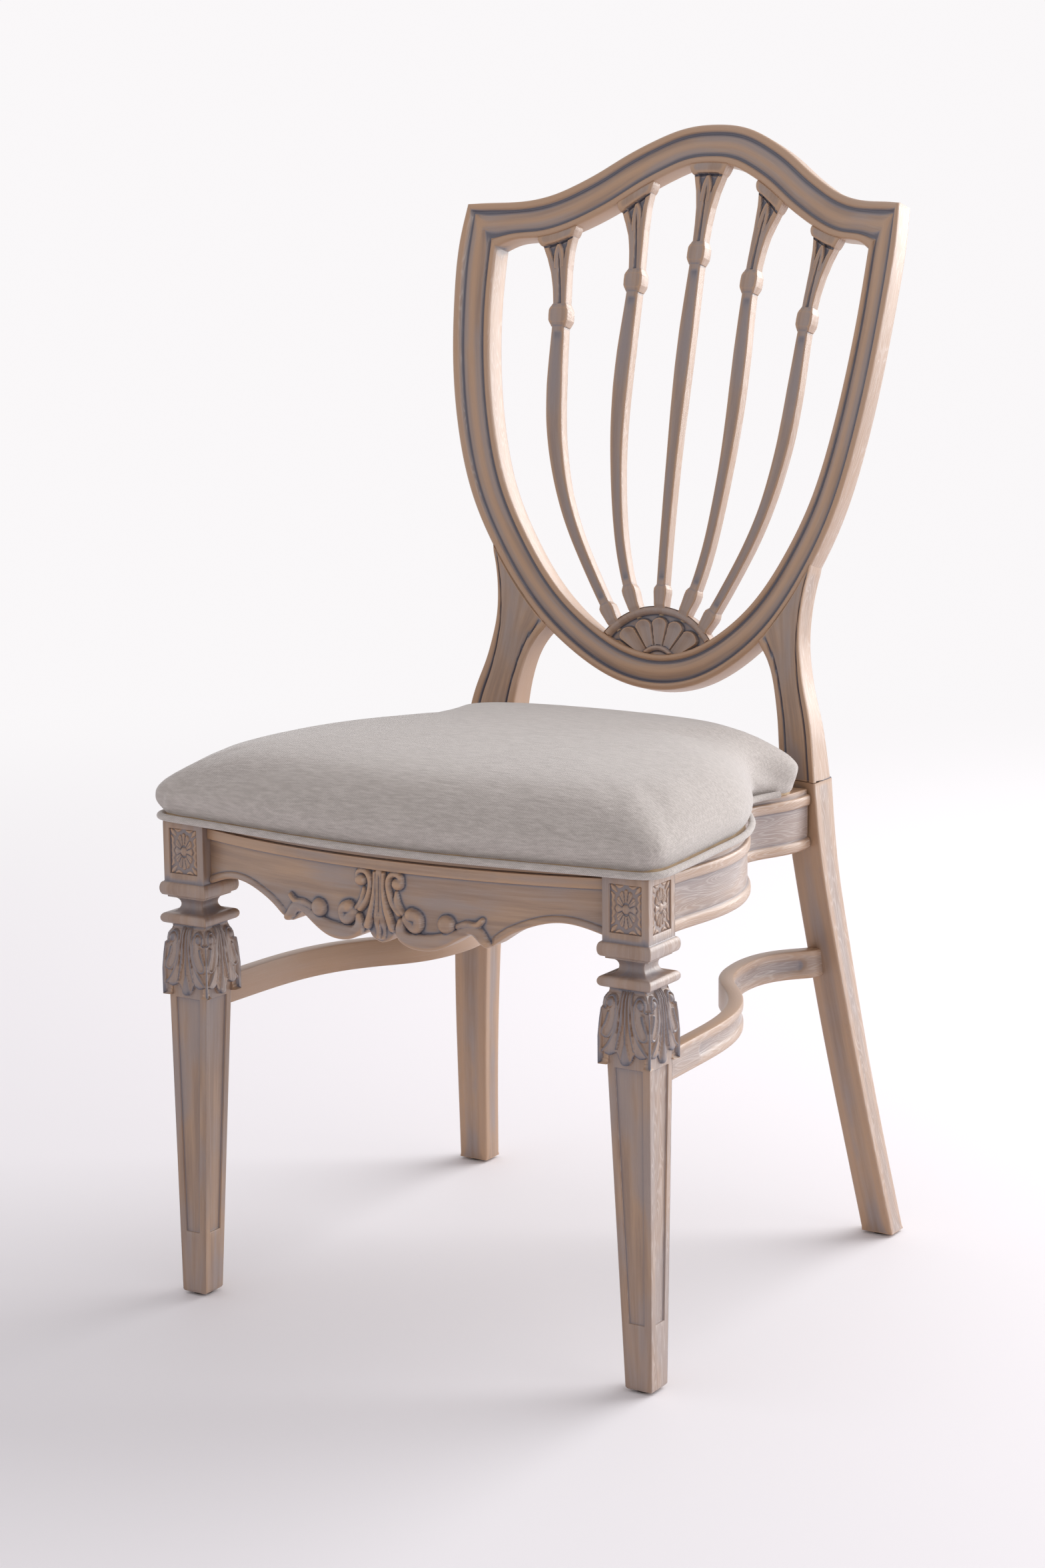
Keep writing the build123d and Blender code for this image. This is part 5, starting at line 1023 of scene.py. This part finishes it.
antique = material("antiqued_resin", antiqued)
linen = material("seat_linen", cloth)
finishes = {
    "inner_resin": material("plain_resin", plain((0.20, 0.15, 0.115), (0.30, 0.23, 0.175), 60, 0.5)),
    "frame_resin": material("resin_under_carving", plain((0.28, 0.19, 0.135), (0.36, 0.25, 0.18), 60, 0.45)),
    "dowel_wood": material("dowel_beech", plain((0.42, 0.29, 0.18), (0.55, 0.40, 0.26), 90, 0.6)),
    "board": material("seat_plywood", plain((0.36, 0.25, 0.155), (0.52, 0.38, 0.24), 40, 0.65)),
    "foam": material("pad_foam", plain((0.62, 0.56, 0.38), (0.72, 0.66, 0.48), 300, 0.9)),
    "seat_fabric": linen,
    "dust_cloth": material("dust_cloth", plain((0.012, 0.012, 0.014), (0.03, 0.03, 0.033), 400, 0.95)),
    "steel": material("zinc_steel", plain((0.52, 0.52, 0.54), (0.66, 0.66, 0.68), 120, 0.3, 1.0)),
    "glide": material("glide_plastic", plain((0.02, 0.017, 0.015), (0.04, 0.034, 0.03), 150, 0.4))}
for entry in frame["record"]["subparts"]:
    node = nodes[entry["node"]]
    node.data.materials.clear()
    node.data.materials.append(finishes[entry["material_slot"]])


# Pieces that stand for the solids

def place(piece, slot, *replaced):
    piece.data.materials.clear()
    piece.data.materials.append(linen if slot == "seat_fabric" else antique)
    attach(piece, "root")
    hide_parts(*replaced)


def place_pair(right, node, ending):
    """The right-hand piece and its twin on the left."""
    place(twin(right, node + "_left_" + ending), "frame_resin", node + "_left")
    place(right, "frame_resin", node + "_right")


place(shield_frame("shield_frame_moulded"), "frame_resin", "shield_frame")
for kind in ("outer", "inner"):
    node = "splat_" + kind
    place_pair(splat(kind, node + "_right_carved"), node, "carved")
place(splat("centre", "splat_centre_carved"), "frame_resin", "splat_centre")
place(fan("fan_carved"), "frame_resin", "fan_rosette")
for make, node in ((upright, "back_upright"), (rear_leg, "rear_leg"), (side_rail, "side_rail"),
                   (stretcher, "stretcher")):
    place_pair(make(node + "_right_shaped"), node, "shaped")
place_pair(front_leg("front_leg_right_carved"), "front_leg", "carved")
place(front_apron("front_apron_carved"), "frame_resin", "front_apron")
place(rear_rail("rear_rail_lipped"), "inner_resin", "rear_seat_rail")
seat = pad("seat_pad")
place(seat, "seat_fabric", "seat_cover", "seat_foam")
place(welt("seat_piping"), "seat_fabric", "seat_welt")


# Floor, light and camera, in metres

backdrop, floor_paint = rgb(0.955, 0.935, 0.945), rgb(0.85, 0.825, 0.855)
fill_light, FILL = rgb(1.0, 0.975, 0.985), 0.65
FADE_FROM, FADE_TO = 0.8, 3.4
AIM = (0, 0, 0.5)
CAMERA_AT = (1.37303, (-2004.83 + FRONT) / 1000, 0.93314)
CAMERA_LENS = 72.344
YAW, PITCH, ROLL = radians(32.0006), radians(10.9478), radians(-0.5366)


def stage_floor():
    """Pale floor that fades into the white backdrop with distance."""
    bpy.ops.object.select_all(action="DESELECT")
    bpy.ops.mesh.primitive_plane_add(size=40, location=(0, 0, 0))
    floor = bpy.context.object
    floor.name = "studio_floor"
    made = bpy.data.materials.new("studio_floor")
    made.use_nodes = True
    s = Shade(made.node_tree)
    made.node_tree.nodes.clear()
    away = s.add("ShaderNodeVectorMath", {0: s.spot(), 1: (0.3, -0.2, 0)}, out=1, operation="DISTANCE")
    paint = s.add("ShaderNodeBsdfPrincipled", {"Base Color": floor_paint, "Roughness": 0.7})
    glow = s.add("ShaderNodeEmission", {0: backdrop, 1: 1.0})
    faded = s.add("ShaderNodeMixShader", {0: away.between(FADE_FROM, FADE_TO), 1: paint, 2: glow})
    s.add("ShaderNodeOutputMaterial", {"Surface": faded})
    floor.data.materials.append(made)


def lamp(name, at, size, power):
    """A round soft lamp aimed at the chair."""
    data = bpy.data.lights.new(name, "AREA")
    data.shape, data.size, data.energy = "DISK", size, power
    ob = bpy.data.objects.new(name, data)
    bpy.context.collection.objects.link(ob)
    turn = Vector(np.subtract(AIM, at)).to_track_quat("-Z", "Y")
    ob.matrix_world = Matrix.Translation(at) @ turn.to_matrix().to_4x4()


stage_floor()
world = bpy.data.worlds.new("studio")
bpy.context.scene.world = world
world.use_nodes = True
world.node_tree.nodes.clear()
sky = Shade(world.node_tree)
rays = [sky.add("ShaderNodeLightPath", out=f"Is {kind} Ray") for kind in ("Camera", "Glossy", "Transmission")]
seen = (rays[0] + rays[1] + rays[2]).math("MINIMUM", 1.0)
fill = sky.add("ShaderNodeBackground", {0: fill_light, 1: FILL})
white = sky.add("ShaderNodeBackground", {0: backdrop, 1: 1.0})
sky.add("ShaderNodeOutputWorld", {"Surface": sky.add("ShaderNodeMixShader", {0: seen, 1: fill, 2: white})})
lamp("softbox_behind", (1.5, 2.5, 1.95), 3.4, 118)
lamp("softbox_right", (3.2, 0.1, 1.3), 2.0, 7)

camera_data = bpy.data.cameras.new("camera")
camera = bpy.data.objects.new("camera", camera_data)
bpy.context.collection.objects.link(camera)
camera_data.lens = CAMERA_LENS
camera_data.clip_end = 100
look = np.array([-sin(YAW) * cos(PITCH), cos(YAW) * cos(PITCH), -sin(PITCH)])
side = np.array([cos(YAW), sin(YAW), 0])
up = np.cross(side, look)
side, up = cos(ROLL) * side + sin(ROLL) * up, cos(ROLL) * up - sin(ROLL) * side
stand = [(*row, at) for row, at in zip(np.c_[side, up, -look], CAMERA_AT)]
camera.matrix_world = Matrix(stand + [(0, 0, 0, 1)])
bpy.context.scene.camera = camera
bpy.context.scene.view_settings.view_transform = "Standard"
